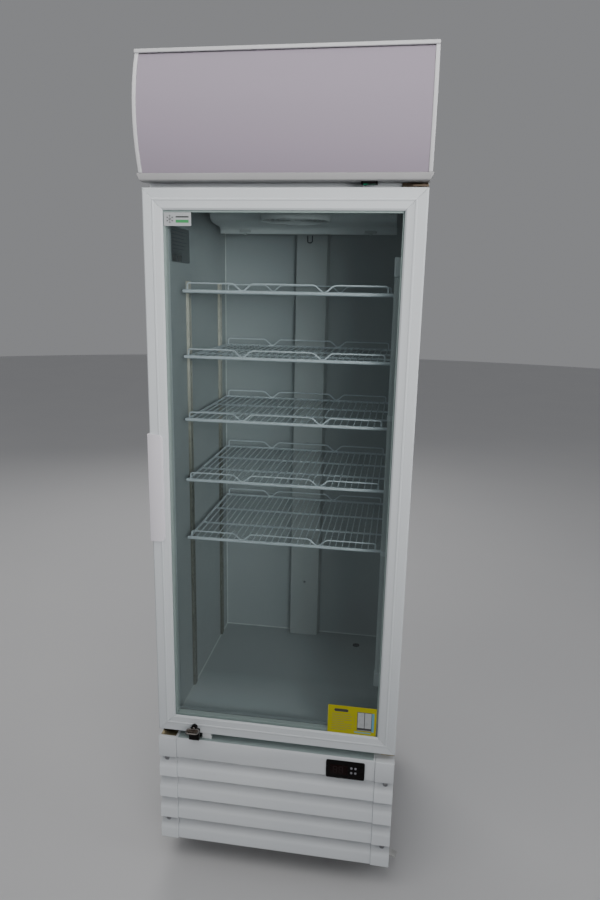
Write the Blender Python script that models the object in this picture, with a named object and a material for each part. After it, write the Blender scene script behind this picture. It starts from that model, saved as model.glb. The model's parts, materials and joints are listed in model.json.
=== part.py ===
"""Glass door merchandiser: a single-door upright display fridge on castors.

Frame: metres, +Z up, origin on the floor under the middle of the cabinet.
-Y is the front, where the door is, and +X is the side of the door hinges.
"""
import math

import bmesh
import bpy
from mathutils import Matrix, Vector

# ---------------------------------------------------------------- dimensions
GAP = 0.0003                    # clearance between pieces that touch
WIDTH = 0.600                   # cabinet and door
HALF = WIDTH / 2
FRONT_Y = -0.288                # front plane of the door
DOOR_DEPTH = 0.042
GASKET_DEPTH = 0.008
CASE_FRONT_Y = FRONT_Y + DOOR_DEPTH + GASKET_DEPTH
CASE_BACK_Y = 0.292
REAR_END_Y = 0.312              # rear bumpers

KICK_BOTTOM = 0.0715
KICK_TOP = 0.3765
DOOR_BOTTOM = 0.396
DOOR_TOP = 1.701
CASE_BOTTOM = 0.085
CASE_TOP = 1.810
CANOPY_RAIL_BOTTOM = 1.7085
CANOPY_RAIL_TOP = 1.7282
CANOPY_TOP = 1.963
SHEET = 0.0012                  # steel sheet of the casing
LINER_SKIN = 0.0015

ROOM_HALF = 0.2575              # refrigerated room
ROOM_FLOOR = 0.4225
ROOM_SILL_TOP = 1.668           # head of the door opening
ROOM_CEILING = 1.760
ROOM_BACK_Y = 0.242
HEAD_BACK_Y = -0.1885           # inner face of the wall over the opening
DECK_Z = 0.3712                 # top of the sheet over the machine room

FRAME_WIDTH = 0.045             # door frame section
GLASS_HALF = 0.2614
PANE = 0.004
HINGE = Vector((0.285, FRONT_Y + DOOR_DEPTH / 2, 0.0))

SHELF_HALF = 0.245
SHELF_FRONT_Y = -0.188
SHELF_REAR_Y = 0.187
SHELF_TOP_Z = 1.489
SHELF_STEP = 0.1513
SHELF_COUNT = 5
SHELF_WIRES = 15                # every second wire of the real shelf
FENCE_HEIGHT = 0.0185

CASTOR_X = 0.236
CASTOR_FRONT_Y = -0.204
CASTOR_REAR_Y = 0.250
WHEEL_RADIUS = 0.0275
WHEEL_HALF_WIDTH = 0.010
TRAIL = 0.022
CASTOR_TOP = 0.0742

# ----------------------------------------------------------------- materials
WHITE_PAINT = ("white_paint", (0.72, 0.75, 0.77), 0.35, 0.0)
WHITE_PLASTIC = ("white_plastic", (0.74, 0.77, 0.78), 0.45, 0.0)
GREY_PLASTIC = ("grey_plastic", (0.55, 0.56, 0.56), 0.5, 0.0)
LINER_WHITE = ("liner_white", (0.52, 0.57, 0.57), 0.5, 0.0)
FOAM = ("foam", (0.80, 0.72, 0.45), 0.9, 0.0)
BLACK_PLASTIC = ("black_plastic", (0.02, 0.02, 0.022), 0.3, 0.0)
BLACK_STEEL = ("black_steel", (0.03, 0.03, 0.035), 0.4, 0.0)
SIGN_SHEET = ("sign_sheet", (0.50, 0.48, 0.54), 0.35, 0.0)
ALUMINIUM = ("aluminium", (0.75, 0.76, 0.78), 0.35, 1.0)
ZINC = ("zinc_steel", (0.60, 0.58, 0.52), 0.4, 1.0)
WIRE_WHITE = ("wire_white", (0.78, 0.82, 0.86), 0.4, 0.0)
RUBBER = ("rubber", (0.04, 0.04, 0.04), 0.8, 0.0)
GLASS = ("glass", (0.75, 0.88, 0.84), 0.05, 0.0)
LAMP = ("lamp", (0.9, 0.92, 0.9), 0.3, 0.0)
SWITCH_GREEN = ("switch_green", (0.02, 0.35, 0.18), 0.25, 0.0)


def material(spec):
    """Principled material from (name, colour, roughness, metallic)."""
    name, colour, roughness, metallic = spec
    found = bpy.data.materials.get(name)
    if found:
        return found
    made = bpy.data.materials.new(name)
    made.use_nodes = True
    shader = made.node_tree.nodes["Principled BSDF"]
    shader.inputs["Base Color"].default_value = (*colour, 1.0)
    shader.inputs["Roughness"].default_value = roughness
    shader.inputs["Metallic"].default_value = metallic
    return made


# ------------------------------------------------------------ solid building
def clear_scene():
    for found in list(bpy.data.objects):
        bpy.data.objects.remove(found, do_unlink=True)


def box(low, high):
    """Box between two corners, as a bmesh."""
    low, high = Vector(low), Vector(high)
    shape = bmesh.new()
    place = Matrix.Translation((low + high) / 2) @ Matrix.Diagonal((*(high - low), 1.0))
    bmesh.ops.create_cube(shape, size=1.0, matrix=place)
    return shape


def centred_box(half_x, y_range, z_range):
    return box((-half_x, y_range[0], z_range[0]), (half_x, y_range[1], z_range[1]))


def prism(outline, axis, start, end):
    """Closed outline extruded along an axis.

    The outline's pairs are (y, z) for axis X, (x, z) for Y and (x, y) for Z.
    """
    slot = "XYZ".index(axis)
    shape = bmesh.new()
    ring = []
    for pair in outline:
        corner = list(pair)
        corner.insert(slot, start)
        ring.append(shape.verts.new(corner))
    face = shape.faces.new(ring)
    grown = bmesh.ops.extrude_face_region(shape, geom=[face])
    moved = [item for item in grown["geom"] if isinstance(item, bmesh.types.BMVert)]
    step = Vector([(end - start) if letter == axis else 0.0 for letter in "XYZ"])
    bmesh.ops.translate(shape, vec=step, verts=moved)
    bmesh.ops.recalc_face_normals(shape, faces=shape.faces)
    return shape


def turned(profile, steps, ring=False):
    """Solid of revolution about +Z from (radius, z) pairs.

    With ring set, the profile is a closed loop away from the axis. Otherwise its
    first and last points lie on the axis.
    """
    shape = bmesh.new()
    rows = []
    for radius, height in profile:
        if radius == 0.0:
            rows.append([shape.verts.new((0.0, 0.0, height))] * steps)
            continue
        angles = [2 * math.pi * (step + 0.5) / steps for step in range(steps)]
        reach = radius / math.cos(math.pi / steps)
        row = [(reach * math.cos(a), reach * math.sin(a), height) for a in angles]
        rows.append([shape.verts.new(point) for point in row])
    pairs = list(zip(rows, rows[1:]))
    if ring:
        pairs.append((rows[-1], rows[0]))
    for lower, upper in pairs:
        for step in range(steps):
            after = (step + 1) % steps
            corners = [lower[step], lower[after], upper[after], upper[step]]
            shape.faces.new(list(dict.fromkeys(corners)))
    bmesh.ops.recalc_face_normals(shape, faces=shape.faces)
    return shape


def cylinder(radius, length, steps, centre=(0, 0, 0), axis="Z"):
    """Cylinder centred on a point, whose flats lie at the given radius."""
    half = length / 2
    shape = turned([(0.0, -half), (radius, -half), (radius, half), (0.0, half)], steps)
    turn = Matrix()
    if axis == "X":
        turn = Matrix.Rotation(math.pi / 2, 4, "Y")
    if axis == "Y":
        turn = Matrix.Rotation(math.pi / 2, 4, "X")
    return moved(shape, Matrix.Translation(centre) @ turn)


def gathered(shapes):
    """Several separate solids as one bmesh, for a cutter or a union operand."""
    whole = bmesh.new()
    for shape in shapes:
        scratch = bpy.data.meshes.new("scratch")
        shape.to_mesh(scratch)
        shape.free()
        whole.from_mesh(scratch)
        bpy.data.meshes.remove(scratch)
    return whole


def moved(shape, matrix):
    bmesh.ops.transform(shape, matrix=matrix, verts=shape.verts)
    return shape


def piece(name, shape, spec, origin=(0, 0, 0)):
    """Object from a bmesh in world metres, with its origin at a point."""
    mesh = bpy.data.meshes.new(name)
    shape.to_mesh(mesh)
    shape.free()
    mesh.transform(Matrix.Translation(-Vector(origin)))
    made = bpy.data.objects.new(name, mesh)
    made.location = origin
    made.data.materials.append(material(spec))
    bpy.context.scene.collection.objects.link(made)
    return made


def combine(target, shape, operation):
    """Boolean modifier on the target, with a hidden operand built in world metres."""
    tool = piece("operand_" + target.name, shape, GREY_PLASTIC)
    tool.hide_render = True
    tool.display_type = "WIRE"
    change = target.modifiers.new(operation.lower(), "BOOLEAN")
    change.operation = operation
    change.solver = "EXACT"
    change.object = tool


def cut(target, *shapes):
    for shape in shapes:
        combine(target, shape, "DIFFERENCE")


def join(target, *shapes):
    for shape in shapes:
        combine(target, shape, "UNION")


def smooth(target, degrees=35):
    target.data.shade_smooth()
    target.data.set_sharp_from_angle(angle=math.radians(degrees))


def settled_mesh(target):
    """The target's mesh with its modifiers, for several objects to share."""
    graph = bpy.context.evaluated_depsgraph_get()
    return bpy.data.meshes.new_from_object(target.evaluated_get(graph))


def rounded_rectangle(low, high, radius, steps=3):
    """Outline of a rectangle with round corners."""
    left, right = low[0] + radius, high[0] - radius
    bottom, top = low[1] + radius, high[1] - radius
    outline = []
    for quarter, (a, b) in enumerate(((right, top), (left, top), (left, bottom), (right, bottom))):
        for step in range(steps + 1):
            angle = math.radians(90 * (quarter + step / steps))
            outline.append((a + radius * math.cos(angle), b + radius * math.sin(angle)))
    return outline


# ------------------------------------------------------------------- cabinet
CASE_CORNER = 0.003
MACHINE_FRONT_HALF = 0.270      # openings of the machine room
MACHINE_FRONT_Z = (0.100, 0.369)
MACHINE_REAR_HALF = 0.262
MACHINE_REAR_Z = (0.104, 0.352)
THROUGH = 0.02                  # how far a cutter passes each face that it opens


def make_casing():
    inner = HALF - SHEET
    y_in = (CASE_FRONT_Y + SHEET, CASE_BACK_Y - SHEET)
    plan = rounded_rectangle((-HALF, CASE_FRONT_Y), (HALF, CASE_BACK_Y), CASE_CORNER, 2)
    casing = piece("outer_casing", prism(plan, "Z", CASE_BOTTOM, CASE_TOP), WHITE_PAINT)
    mouth = ROOM_HALF + LINER_SKIN + GAP
    window = (ROOM_FLOOR - LINER_SKIN - GAP, ROOM_SILL_TOP + LINER_SKIN + GAP)
    front = (CASE_FRONT_Y - THROUGH, CASE_FRONT_Y + THROUGH)
    rear = (CASE_BACK_Y - THROUGH, CASE_BACK_Y + THROUGH)
    cut(casing,
        centred_box(inner, y_in, (DECK_Z, CASE_TOP - SHEET)),
        centred_box(inner, y_in, (CASE_BOTTOM - THROUGH, DECK_Z - SHEET)),
        centred_box(mouth, front, window),
        centred_box(MACHINE_FRONT_HALF, front, MACHINE_FRONT_Z),
        centred_box(MACHINE_REAR_HALF, rear, MACHINE_REAR_Z))


def liner_outline(grow, front_y):
    """Side view of the room, grown outwards; the mouth lies at front_y."""
    floor, back = ROOM_FLOOR - grow, ROOM_BACK_Y + grow
    ceiling, head, sill = ROOM_CEILING + grow, HEAD_BACK_Y - grow, ROOM_SILL_TOP + grow
    room = [(front_y, floor), (back, floor), (back, ceiling), (head, ceiling)]
    return room + [(head, sill), (front_y, sill)]


def make_insulation_and_liner():
    edge = SHEET + GAP
    y_foam = (CASE_FRONT_Y + edge, CASE_BACK_Y - edge)
    block = centred_box(HALF - edge, y_foam, (DECK_Z + GAP, CASE_TOP - edge))
    foam = piece("foam_insulation", block, FOAM)
    reach = LINER_SKIN + GAP
    hollow = liner_outline(reach, CASE_FRONT_Y - THROUGH)
    cut(foam, prism(hollow, "X", -ROOM_HALF - reach, ROOM_HALF + reach))

    outside = ROOM_HALF + LINER_SKIN
    lip_y = CASE_FRONT_Y - 2 * GAP
    shell = prism(liner_outline(LINER_SKIN, lip_y), "X", -outside, outside)
    liner = piece("inner_liner", shell, LINER_WHITE)
    cut(liner, prism(liner_outline(0.0, CASE_FRONT_Y - THROUGH), "X", -ROOM_HALF, ROOM_HALF))


BASE_BOTTOM = 0.072
BASE_INSET = 0.001
BASE_WALL = 0.0025
CASTOR_PAD = 0.028


def make_base_frame():
    """Tray turned upside down under the casing, with a pad over each castor."""
    top = CASE_BOTTOM - 0.0005
    y_out = (CASE_FRONT_Y + BASE_INSET, CASE_BACK_Y - BASE_INSET)
    y_in = (y_out[0] + BASE_WALL, y_out[1] - BASE_WALL)
    half = HALF - 1.5 * BASE_INSET
    pan = piece("base_frame", centred_box(half, y_out, (BASE_BOTTOM, top)), BLACK_STEEL)
    cut(pan, centred_box(half - BASE_WALL, y_in, (BASE_BOTTOM - THROUGH, top - 0.002)))
    pads = []
    for x in (-CASTOR_X, CASTOR_X):
        for y in (CASTOR_FRONT_Y, CASTOR_REAR_Y):
            low = (x - CASTOR_PAD, y - CASTOR_PAD, CASTOR_TOP + GAP)
            pads.append(box(low, (x + CASTOR_PAD, y + CASTOR_PAD, top - 0.001)))
    join(pan, gathered(pads))


# ---------------------------------------------------------------- kick panel
LOUVRE_EDGES = (0.319, 0.260, 0.197, 0.1345, KICK_BOTTOM)
LOUVRE_RECESS = 0.014
KICK_BACK_Y = FRONT_Y + 0.018
KICK_HALF = 0.2535
AIR_SLOT_X = (-0.155, 0.0, 0.155)
AIR_SLOT_HALF = 0.062
CAP_PROUD = 0.003
CAP_SCREW_X = 0.281
CAP_SCREW_Z = (0.3105, 0.121)


def louvre_outline(proud, back_y, flange_y):
    """Side view of the kick panel: a flat head over four sloping louvres."""
    face = FRONT_Y - proud
    outline = [(flange_y, KICK_TOP), (face + 0.002, KICK_TOP), (face, KICK_TOP - 0.002)]
    for upper, lower in zip(LOUVRE_EDGES, LOUVRE_EDGES[1:]):
        outline += [(face, upper), (face + LOUVRE_RECESS - proud, upper - 0.004)]
        outline += [(face - 0.001, lower + 0.006)]
    outline += [(face, KICK_BOTTOM), (back_y, KICK_BOTTOM)]
    if flange_y > back_y:
        outline += [(back_y, KICK_TOP - 0.004), (flange_y, KICK_TOP - 0.004)]
    return outline


def make_kick_panel():
    flange = CASE_FRONT_Y - 0.0045
    shape = prism(louvre_outline(0.0, KICK_BACK_Y, flange), "X", -KICK_HALF, KICK_HALF)
    panel = piece("kick_panel", shape, WHITE_PLASTIC)
    slots = []
    for edge in LOUVRE_EDGES[:-1]:
        for centre in AIR_SLOT_X:
            slots.append(box((centre - AIR_SLOT_HALF, FRONT_Y + 0.004, edge - 0.0125),
                             (centre + AIR_SLOT_HALF, KICK_BACK_Y + 0.01, edge - 0.0055)))
    cut(panel, gathered(slots), box(CONTROLLER_HOLE[0], CONTROLLER_HOLE[1]))

    cap_back = CASE_FRONT_Y - 0.0008
    for side, name in ((-1, "kick_cap_left"), (1, "kick_cap_right")):
        ends = sorted((side * (KICK_HALF + GAP), side * HALF))
        cap = piece(name, prism(louvre_outline(CAP_PROUD, cap_back, cap_back), "X", *ends), WHITE_PLASTIC)
        recesses = []
        for height in CAP_SCREW_Z:
            recesses.append(cylinder(0.006, 0.016, 12, (side * CAP_SCREW_X, FRONT_Y + 0.004, height), "Y"))
        cut(cap, gathered(recesses))


# ---------------------------------------------------------------- controller
CONTROLLER_LOW = (0.1330, 0.3185)
CONTROLLER_HIGH = (0.2287, 0.3668)
BEZEL_PROUD = 0.004
CONTROLLER_HOLE = ((0.1358, FRONT_Y - 0.02, 0.3213), (0.2259, FRONT_Y + 0.03, 0.3640))
CONTROLLER_BACK_Y = FRONT_Y + 0.056
BUTTON_PLACES = ((0.1960, 0.3500), (0.2060, 0.3500), (0.1960, 0.3370), (0.2060, 0.3370))
BUTTON_RADIUS = 0.0028


def make_controller():
    face_y = FRONT_Y - BEZEL_PROUD
    bezel = prism(rounded_rectangle(CONTROLLER_LOW, CONTROLLER_HIGH, 0.004), "Y", face_y, FRONT_Y - GAP)
    body = piece("controller_body", bezel, BLACK_PLASTIC)
    low, high = CONTROLLER_HOLE
    join(body, box((low[0] + GAP, FRONT_Y - 0.002, low[2] + GAP),
                   (high[0] - GAP, CONTROLLER_BACK_Y, high[2] - GAP)))
    pockets = []
    for x, z in BUTTON_PLACES:
        pockets.append(cylinder(BUTTON_RADIUS + GAP, 0.014, 12, (x, face_y, z), "Y"))
    cut(body, gathered(pockets))
    for number, (x, z) in enumerate(BUTTON_PLACES, start=1):
        centre = (x, face_y + 0.0008, z)
        button = cylinder(BUTTON_RADIUS, 0.0040, 12, centre, "Y")
        piece(f"controller_button_{number}", button, GREY_PLASTIC, centre)


# -------------------------------------------------------------- machine room
def comb_outline(low, high, teeth, depth):
    """Fin block seen from one side: teeth along the first axis, rooted at the low edge of the second."""
    pitch = (high[0] - low[0]) / (2 * teeth - 1)
    outline = [(low[0], low[1])]
    for tooth in range(teeth):
        start = low[0] + 2 * tooth * pitch
        outline += [(start, high[1]), (start + pitch, high[1])]
        if tooth < teeth - 1:
            outline += [(start + pitch, high[1] - depth), (start + 2 * pitch, high[1] - depth)]
    outline += [(high[0], low[1])]
    return outline


COMPRESSOR = Vector((0.150, 0.140, CASE_BOTTOM + GAP))


def make_compressor():
    """Pot on its foot plate, with the terminal box at its side and the drip tray on top."""
    place = Matrix.Translation(COMPRESSOR)
    pot = [(0.0, 0.0), (0.072, 0.0), (0.084, 0.020), (0.084, 0.095)]
    pot += [(0.074, 0.135), (0.045, 0.155), (0.0, 0.160)]
    compressor = piece("compressor", moved(turned(pot, 20), place), BLACK_STEEL)
    foot = moved(box((-0.105, -0.060, 0.0), (0.105, 0.060, 0.0057)), place)
    tray = [(0.0, 0.150), (0.070, 0.150), (0.085, 0.186), (0.082, 0.186), (0.066, 0.164), (0.0, 0.164)]
    terminal = moved(box((0.075, -0.030, 0.045), (0.108, 0.030, 0.105)), place)
    join(compressor, foot, moved(turned(tray, 20), place), terminal)
    smooth(compressor)


CONDENSER_FAN = Vector((-0.060, -0.098, 0.205))
CONDENSER_FAN_RADIUS = 0.092
CONDENSER_HALF = 0.130
CONDENSER_TOP = 0.320


def make_condenser():
    """Fin block, and behind it the fan's shroud with its motor on a cross bar."""
    hub_x, hub_y, hub_z = CONDENSER_FAN
    x0, x1 = hub_x - CONDENSER_HALF, hub_x + CONDENSER_HALF
    outline = comb_outline((x0, hub_y - 0.107), (x1, hub_y - 0.037), 15, 0.050)
    piece("condenser_coil", prism(outline, "Z", CASE_BOTTOM + GAP, CONDENSER_TOP), ALUMINIUM)

    wall = box((x0, hub_y - 0.034, CASE_BOTTOM + GAP), (x1, hub_y - 0.014, CONDENSER_TOP + 0.005))
    shroud = piece("condenser_fan_housing", wall, BLACK_STEEL)
    cut(shroud, cylinder(CONDENSER_FAN_RADIUS + 0.008, 0.060, 20, (hub_x, hub_y - 0.024, hub_z), "Y"))
    bar = box((x0 + 0.02, hub_y - 0.032, hub_z - 0.006), (x1 - 0.02, hub_y - 0.027, hub_z + 0.006))
    join(shroud, bar, cylinder(0.032, 0.022, 16, (hub_x, hub_y - 0.0225, hub_z), "Y"))


BLADE_PITCH = 24


def fan(name, place, radius, blades, spec):
    """Hub on the place's Z axis with pitched blades; its origin is the hub's middle."""
    hub = turned([(0.0, -0.007), (0.020, -0.007), (0.020, 0.005), (0.014, 0.009), (0.0, 0.009)], 12)
    made = piece(name, moved(hub, place), spec, place.translation)
    waist = radius * 0.6
    root = 0.016
    outline = [(root, -0.009), (waist, -0.019), (radius, -0.020)]
    outline += [(radius, 0.016), (waist, 0.014), (root, 0.009)]
    pitch = Matrix.Rotation(math.radians(BLADE_PITCH), 4, "X")
    swept = []
    for blade in range(blades):
        turn = Matrix.Rotation(2 * math.pi * blade / blades, 4, "Z")
        swept.append(moved(prism(outline, "Z", -0.0008, 0.0008), place @ turn @ pitch))
    join(made, gathered(swept))


GRILLE_RIM = 0.020
GRILLE_PITCH = 0.024
GRILLE_ROWS = 8
BUMPER_X = 0.255
BUMPER_Z = (0.335, 0.355)


def make_rear_grille():
    """Slotted cover of the machine room, with its wall bumpers and the cord's gland."""
    low, high = MACHINE_REAR_Z[0] - GRILLE_RIM / 2, MACHINE_REAR_Z[1] + GRILLE_RIM / 2
    y_range = (CASE_BACK_Y + GAP, CASE_BACK_Y + 0.0025)
    plate = centred_box(MACHINE_REAR_HALF + GRILLE_RIM, y_range, (low, high))
    grille = piece("rear_grille", plate, WHITE_PAINT)
    slots = []
    for row in range(GRILLE_ROWS):
        height = low + 0.046 + GRILLE_PITCH * row
        for centre in (-0.125, 0.125):
            slots.append(box((centre - 0.095, CASE_BACK_Y - 0.01, height),
                             (centre + 0.095, CASE_BACK_Y + 0.01, height + 0.010)))
    cut(grille, gathered(slots))
    bumpers = []
    for x in (-BUMPER_X, BUMPER_X):
        bumpers.append(box((x - 0.015, CASE_BACK_Y + 0.002, BUMPER_Z[0]),
                           (x + 0.015, REAR_END_Y, BUMPER_Z[1])))
    gland = cylinder(0.011, 0.016, 12, (-0.235, CASE_BACK_Y + 0.009, low + 0.024), "Y")
    join(grille, gathered(bumpers), gland)


# --------------------------------------------------------------- cold engine
EVAPORATOR_FAN = Vector((0.0, -0.088, 1.682))
EVAPORATOR_FAN_RADIUS = 0.070
GUARD_BOTTOM = 1.652
GUARD_RADIUS = 0.082
COVER_HALF = 0.235
COVER_FRONT = (-0.180, 1.670)
COVER_REAR = (0.112, 1.640)
COVER_SKIN = 0.0025


def make_evaporator():
    """Cover with a sloping underside, the fan's guard and motor in it, and the coil behind."""
    top = ROOM_CEILING - GAP
    (y0, z0), (y1, z1) = COVER_FRONT, COVER_REAR
    skin = COVER_SKIN
    outer = [(y0, z0), (y1 - 0.012, z1), (y1, z1 + 0.010), (y1, top), (y0, top)]
    cover = piece("evaporator_cover", prism(outer, "X", -COVER_HALF, COVER_HALF), LINER_WHITE)
    inner = [(y0 + skin, z0 + skin), (y1 - 0.012, z1 + skin), (y1 - skin, z1 + 0.012)]
    inner += [(y1 - skin, top + THROUGH), (y0 + skin, top + THROUGH)]
    cut(cover, prism(inner, "X", -COVER_HALF + skin, COVER_HALF - skin))

    hub = Matrix.Translation((EVAPORATOR_FAN.x, EVAPORATOR_FAN.y, GUARD_BOTTOM))
    bore = GUARD_RADIUS - 0.0055
    cut(cover, moved(cylinder(GUARD_RADIUS - 0.004, 0.040, 24), hub))
    rim = turned([(bore, 0.0), (GUARD_RADIUS, 0.0), (GUARD_RADIUS, 0.016), (bore, 0.016)], 24, ring=True)
    spoke = bore + 0.0025
    across = box((-spoke, -0.002, 0.0005), (spoke, 0.002, 0.0035))
    along = box((-0.002, -spoke, 0.0010), (0.002, spoke, 0.0040))
    motor = cylinder(0.024, 0.021, 16, (0.0, 0.0, 0.0105))
    join(cover, moved(rim, hub), moved(across, hub), moved(along, hub), moved(motor, hub))
    slots = []
    for x in (-0.160, -0.080, 0.080, 0.160):
        slots.append(box((x - 0.030, y1 - THROUGH, 1.690), (x + 0.030, y1 + THROUGH, 1.730)))
    cut(cover, gathered(slots))

    outline = comb_outline((-0.200, 1.668), (0.200, 1.752), 17, 0.064)
    piece("evaporator_coil", prism(outline, "Y", 0.020, 0.098), ALUMINIUM)


DUCT_HALF = 0.049
DUCT_FRONT_Y = 0.212
DUCT_SKIN = 0.002
DUCT_SLOPE = 0.006
PILASTER_DEPTH = 0.006
PILASTER_HALF = 0.0125
PILASTER_ROWS = ((-0.118, "front"), (0.167, "rear"))
PILASTER_TOP = 1.512


def make_air_duct():
    front, back = DUCT_FRONT_Y, ROOM_BACK_Y - GAP
    side, nose = DUCT_HALF, DUCT_HALF - DUCT_SLOPE
    outer = [(-side, back), (-nose, front), (nose, front), (side, back)]
    inner = [(x - math.copysign(DUCT_SKIN, x), y) for x, y in reversed(outer)]
    inner = [(x, back if y == back else front + DUCT_SKIN) for x, y in inner]
    piece("air_duct", prism(outer + inner, "Z", ROOM_FLOOR + GAP, ROOM_CEILING - GAP), LINER_WHITE)


def make_pilasters():
    half, low = PILASTER_HALF, ROOM_FLOOR + 0.004
    for side, side_name in ((-1, "left"), (1, "right")):
        wall = side * (ROOM_HALF - GAP)
        face = wall - side * PILASTER_DEPTH
        lip = wall - side * 0.002
        for y, row in PILASTER_ROWS:
            front = [(wall, y - half), (lip, y - half), (face, y - half + 0.004)]
            rear = [(face, y + half - 0.004), (lip, y + half), (wall, y + half)]
            piece(f"pilaster_{row}_{side_name}", prism(front + rear, "Z", low, PILASTER_TOP), ZINC)


LED_CENTRE = (0.2475, -0.221)
LED_RADIUS = 0.0085
LED_Z = (0.544, 1.569)


def make_led_tube():
    wall, (x, y) = ROOM_HALF - GAP, LED_CENTRE
    outline = [(wall, y - 0.011), (wall, y + 0.011)]
    for step in range(7):
        angle = math.radians(60 + 40 * step)
        outline.append((x + LED_RADIUS * math.cos(angle), y + LED_RADIUS * math.sin(angle)))
    piece("led_tube", prism(outline, "Z", *LED_Z), LAMP)


# -------------------------------------------------------------------- canopy
SIGN_HALF = 0.2960
SIGN_LOW, SIGN_HIGH = 1.7288, 1.9540
SIGN_BULGE = 0.024
HOUSING_BACK_Y = -0.150
HOUSING_HALF = 0.2955
HOUSING_TOP = 1.9555
HOUSING_SKIN = 0.0015
TRIM_WIDTH = 0.0085
TRIM_PROUD = 0.0015
COVER_BOTTOM = 1.9558
SEAT_GAP = 2 * GAP              # between the canopy and the casing that it sits on
RAIL_HALF = 0.308
RAIL_TAPER = 0.0100


def bulge(inset, low, high, steps=10):
    """Arc points (y, z) of the sign's curved front, from low to high."""
    half = (SIGN_HIGH - SIGN_LOW) / 2
    middle = (SIGN_HIGH + SIGN_LOW) / 2
    radius = (half ** 2 + SIGN_BULGE ** 2) / (2 * SIGN_BULGE)
    centre_y = FRONT_Y - SIGN_BULGE + radius
    points = []
    for step in range(steps + 1):
        height = low + (high - low) * step / steps
        reach = math.sqrt((radius - inset) ** 2 - (height - middle) ** 2)
        points.append((centre_y - reach, height))
    return points


def canopy_side(front):
    """Outline closed round the cabinet's front top edge, behind the given front points."""
    head, seat = CASE_FRONT_Y - SEAT_GAP, CASE_TOP + SEAT_GAP
    rear = [(HOUSING_BACK_Y, front[-1][1]), (HOUSING_BACK_Y, seat)]
    return front + rear + [(head, seat), (head, front[0][1])]


def make_canopy():
    """Open-fronted housing, the curved sign sheet, and the frame of side trims and top cover."""
    half, low, high, skin = HOUSING_HALF, SIGN_LOW, HOUSING_TOP, HOUSING_SKIN
    face, back = FRONT_Y + 0.010, HOUSING_BACK_Y - skin
    side = canopy_side([(face, low), (face, high)])
    housing = piece("canopy_housing", prism(side, "X", -half, half), WHITE_PAINT)
    head, roof = CASE_FRONT_Y - SEAT_GAP - skin, CASE_TOP + SEAT_GAP + skin
    inner = [(face - THROUGH, low + skin), (face - THROUGH, high - skin), (back, high - skin)]
    inner += [(back, roof), (head, roof), (head, low + skin)]
    cut(housing, prism(inner, "X", -half + skin, half - skin))

    sheet = bulge(0.0, SIGN_LOW, SIGN_HIGH) + bulge(0.0025, SIGN_LOW, SIGN_HIGH)[::-1]
    smooth(piece("sign_panel", prism(sheet, "X", -SIGN_HALF, SIGN_HALF), SIGN_SHEET))

    trim = canopy_side(bulge(-TRIM_PROUD, SIGN_LOW, COVER_BOTTOM + 0.0008))
    near, far = SIGN_HALF + GAP, SIGN_HALF + TRIM_WIDTH
    frame = piece("canopy_frame", prism(trim, "X", near, far), ALUMINIUM)
    cover = box((-far, FRONT_Y - 0.0045, COVER_BOTTOM), (far, HOUSING_BACK_Y, CANOPY_TOP))
    join(frame, prism(trim, "X", -far, -near), cover)


def make_canopy_lamp():
    """Batten on the housing's rear wall, with its tube in front."""
    back, half = HOUSING_BACK_Y - HOUSING_SKIN - GAP, 0.240
    batten = box((-half, back - 0.0282, 1.868), (half, back, 1.900))
    lamp = piece("canopy_lamp", batten, LAMP)
    join(lamp, cylinder(0.013, 2 * half - 0.020, 12, (0.0, back - 0.0382, 1.884), "X"))


SWITCH = Vector((0.1800, FRONT_Y + 0.013, CANOPY_RAIL_BOTTOM))
SWITCH_REST_TILT = -6


def make_canopy_rail():
    """Rail under the sign, with the socket of the sign's rocker switch in its underside."""
    low, high = CANOPY_RAIL_BOTTOM, CANOPY_RAIL_TOP
    face, back = FRONT_Y - 0.006, CASE_FRONT_Y - 0.006
    side = [(face, low + 0.0065), (face, high - 0.002), (face + 0.002, high)]
    side += [(back, high), (back, low), (face + 0.012, low + 0.003)]
    shape = prism(side, "X", -RAIL_HALF, RAIL_HALF)
    for vertex in shape.verts:                          # the ends draw in towards the underside
        drop = (high - vertex.co.z) / (high - low)
        vertex.co.x -= math.copysign(RAIL_TAPER * drop, vertex.co.x)
    rail = piece("canopy_bottom_rail", shape, GREY_PLASTIC)
    socket = Matrix.Translation(SWITCH)
    join(rail, moved(box((-0.0165, -0.0110, -0.0010), (0.0165, 0.0110, high - low - 0.006)), socket))
    cut(rail, moved(box((-0.0130, -0.0080, -0.0100), (0.0130, 0.0080, 0.0065)), socket))


def make_rocker():
    rocker = [(-0.0122, -0.0030), (-0.0100, -0.0036), (0.0, -0.0018), (0.0100, -0.0036), (0.0122, -0.0030)]
    rocker += [(0.0120, 0.0022), (-0.0120, 0.0022)]
    pivot = SWITCH + Vector((0.0, 0.0, 0.0016))
    tilt = Matrix.Translation(pivot) @ Matrix.Rotation(math.radians(SWITCH_REST_TILT), 4, "Y")
    piece("rocker_switch", moved(prism(rocker, "Y", -0.0077, 0.0077), tilt), SWITCH_GREEN, pivot)


# ---------------------------------------------------------------------- door
def frame_section():
    """Door frame section: (inwards from the outer edge, depth behind the front plane)."""
    inner, rebate = FRAME_WIDTH, FRAME_WIDTH - 0.007
    face = [(0.0, 0.003), (0.003, 0.0), (0.0215, 0.0), (0.0225, -0.0012), (0.0255, -0.0012), (0.0265, 0.0)]
    lip = [(inner - 0.004, 0.0), (inner, 0.003), (inner, 0.0045), (rebate, 0.0045), (rebate, 0.0282)]
    return face + lip + [(inner, 0.0282), (inner, DOOR_DEPTH), (0.0, DOOR_DEPTH)]


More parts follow.
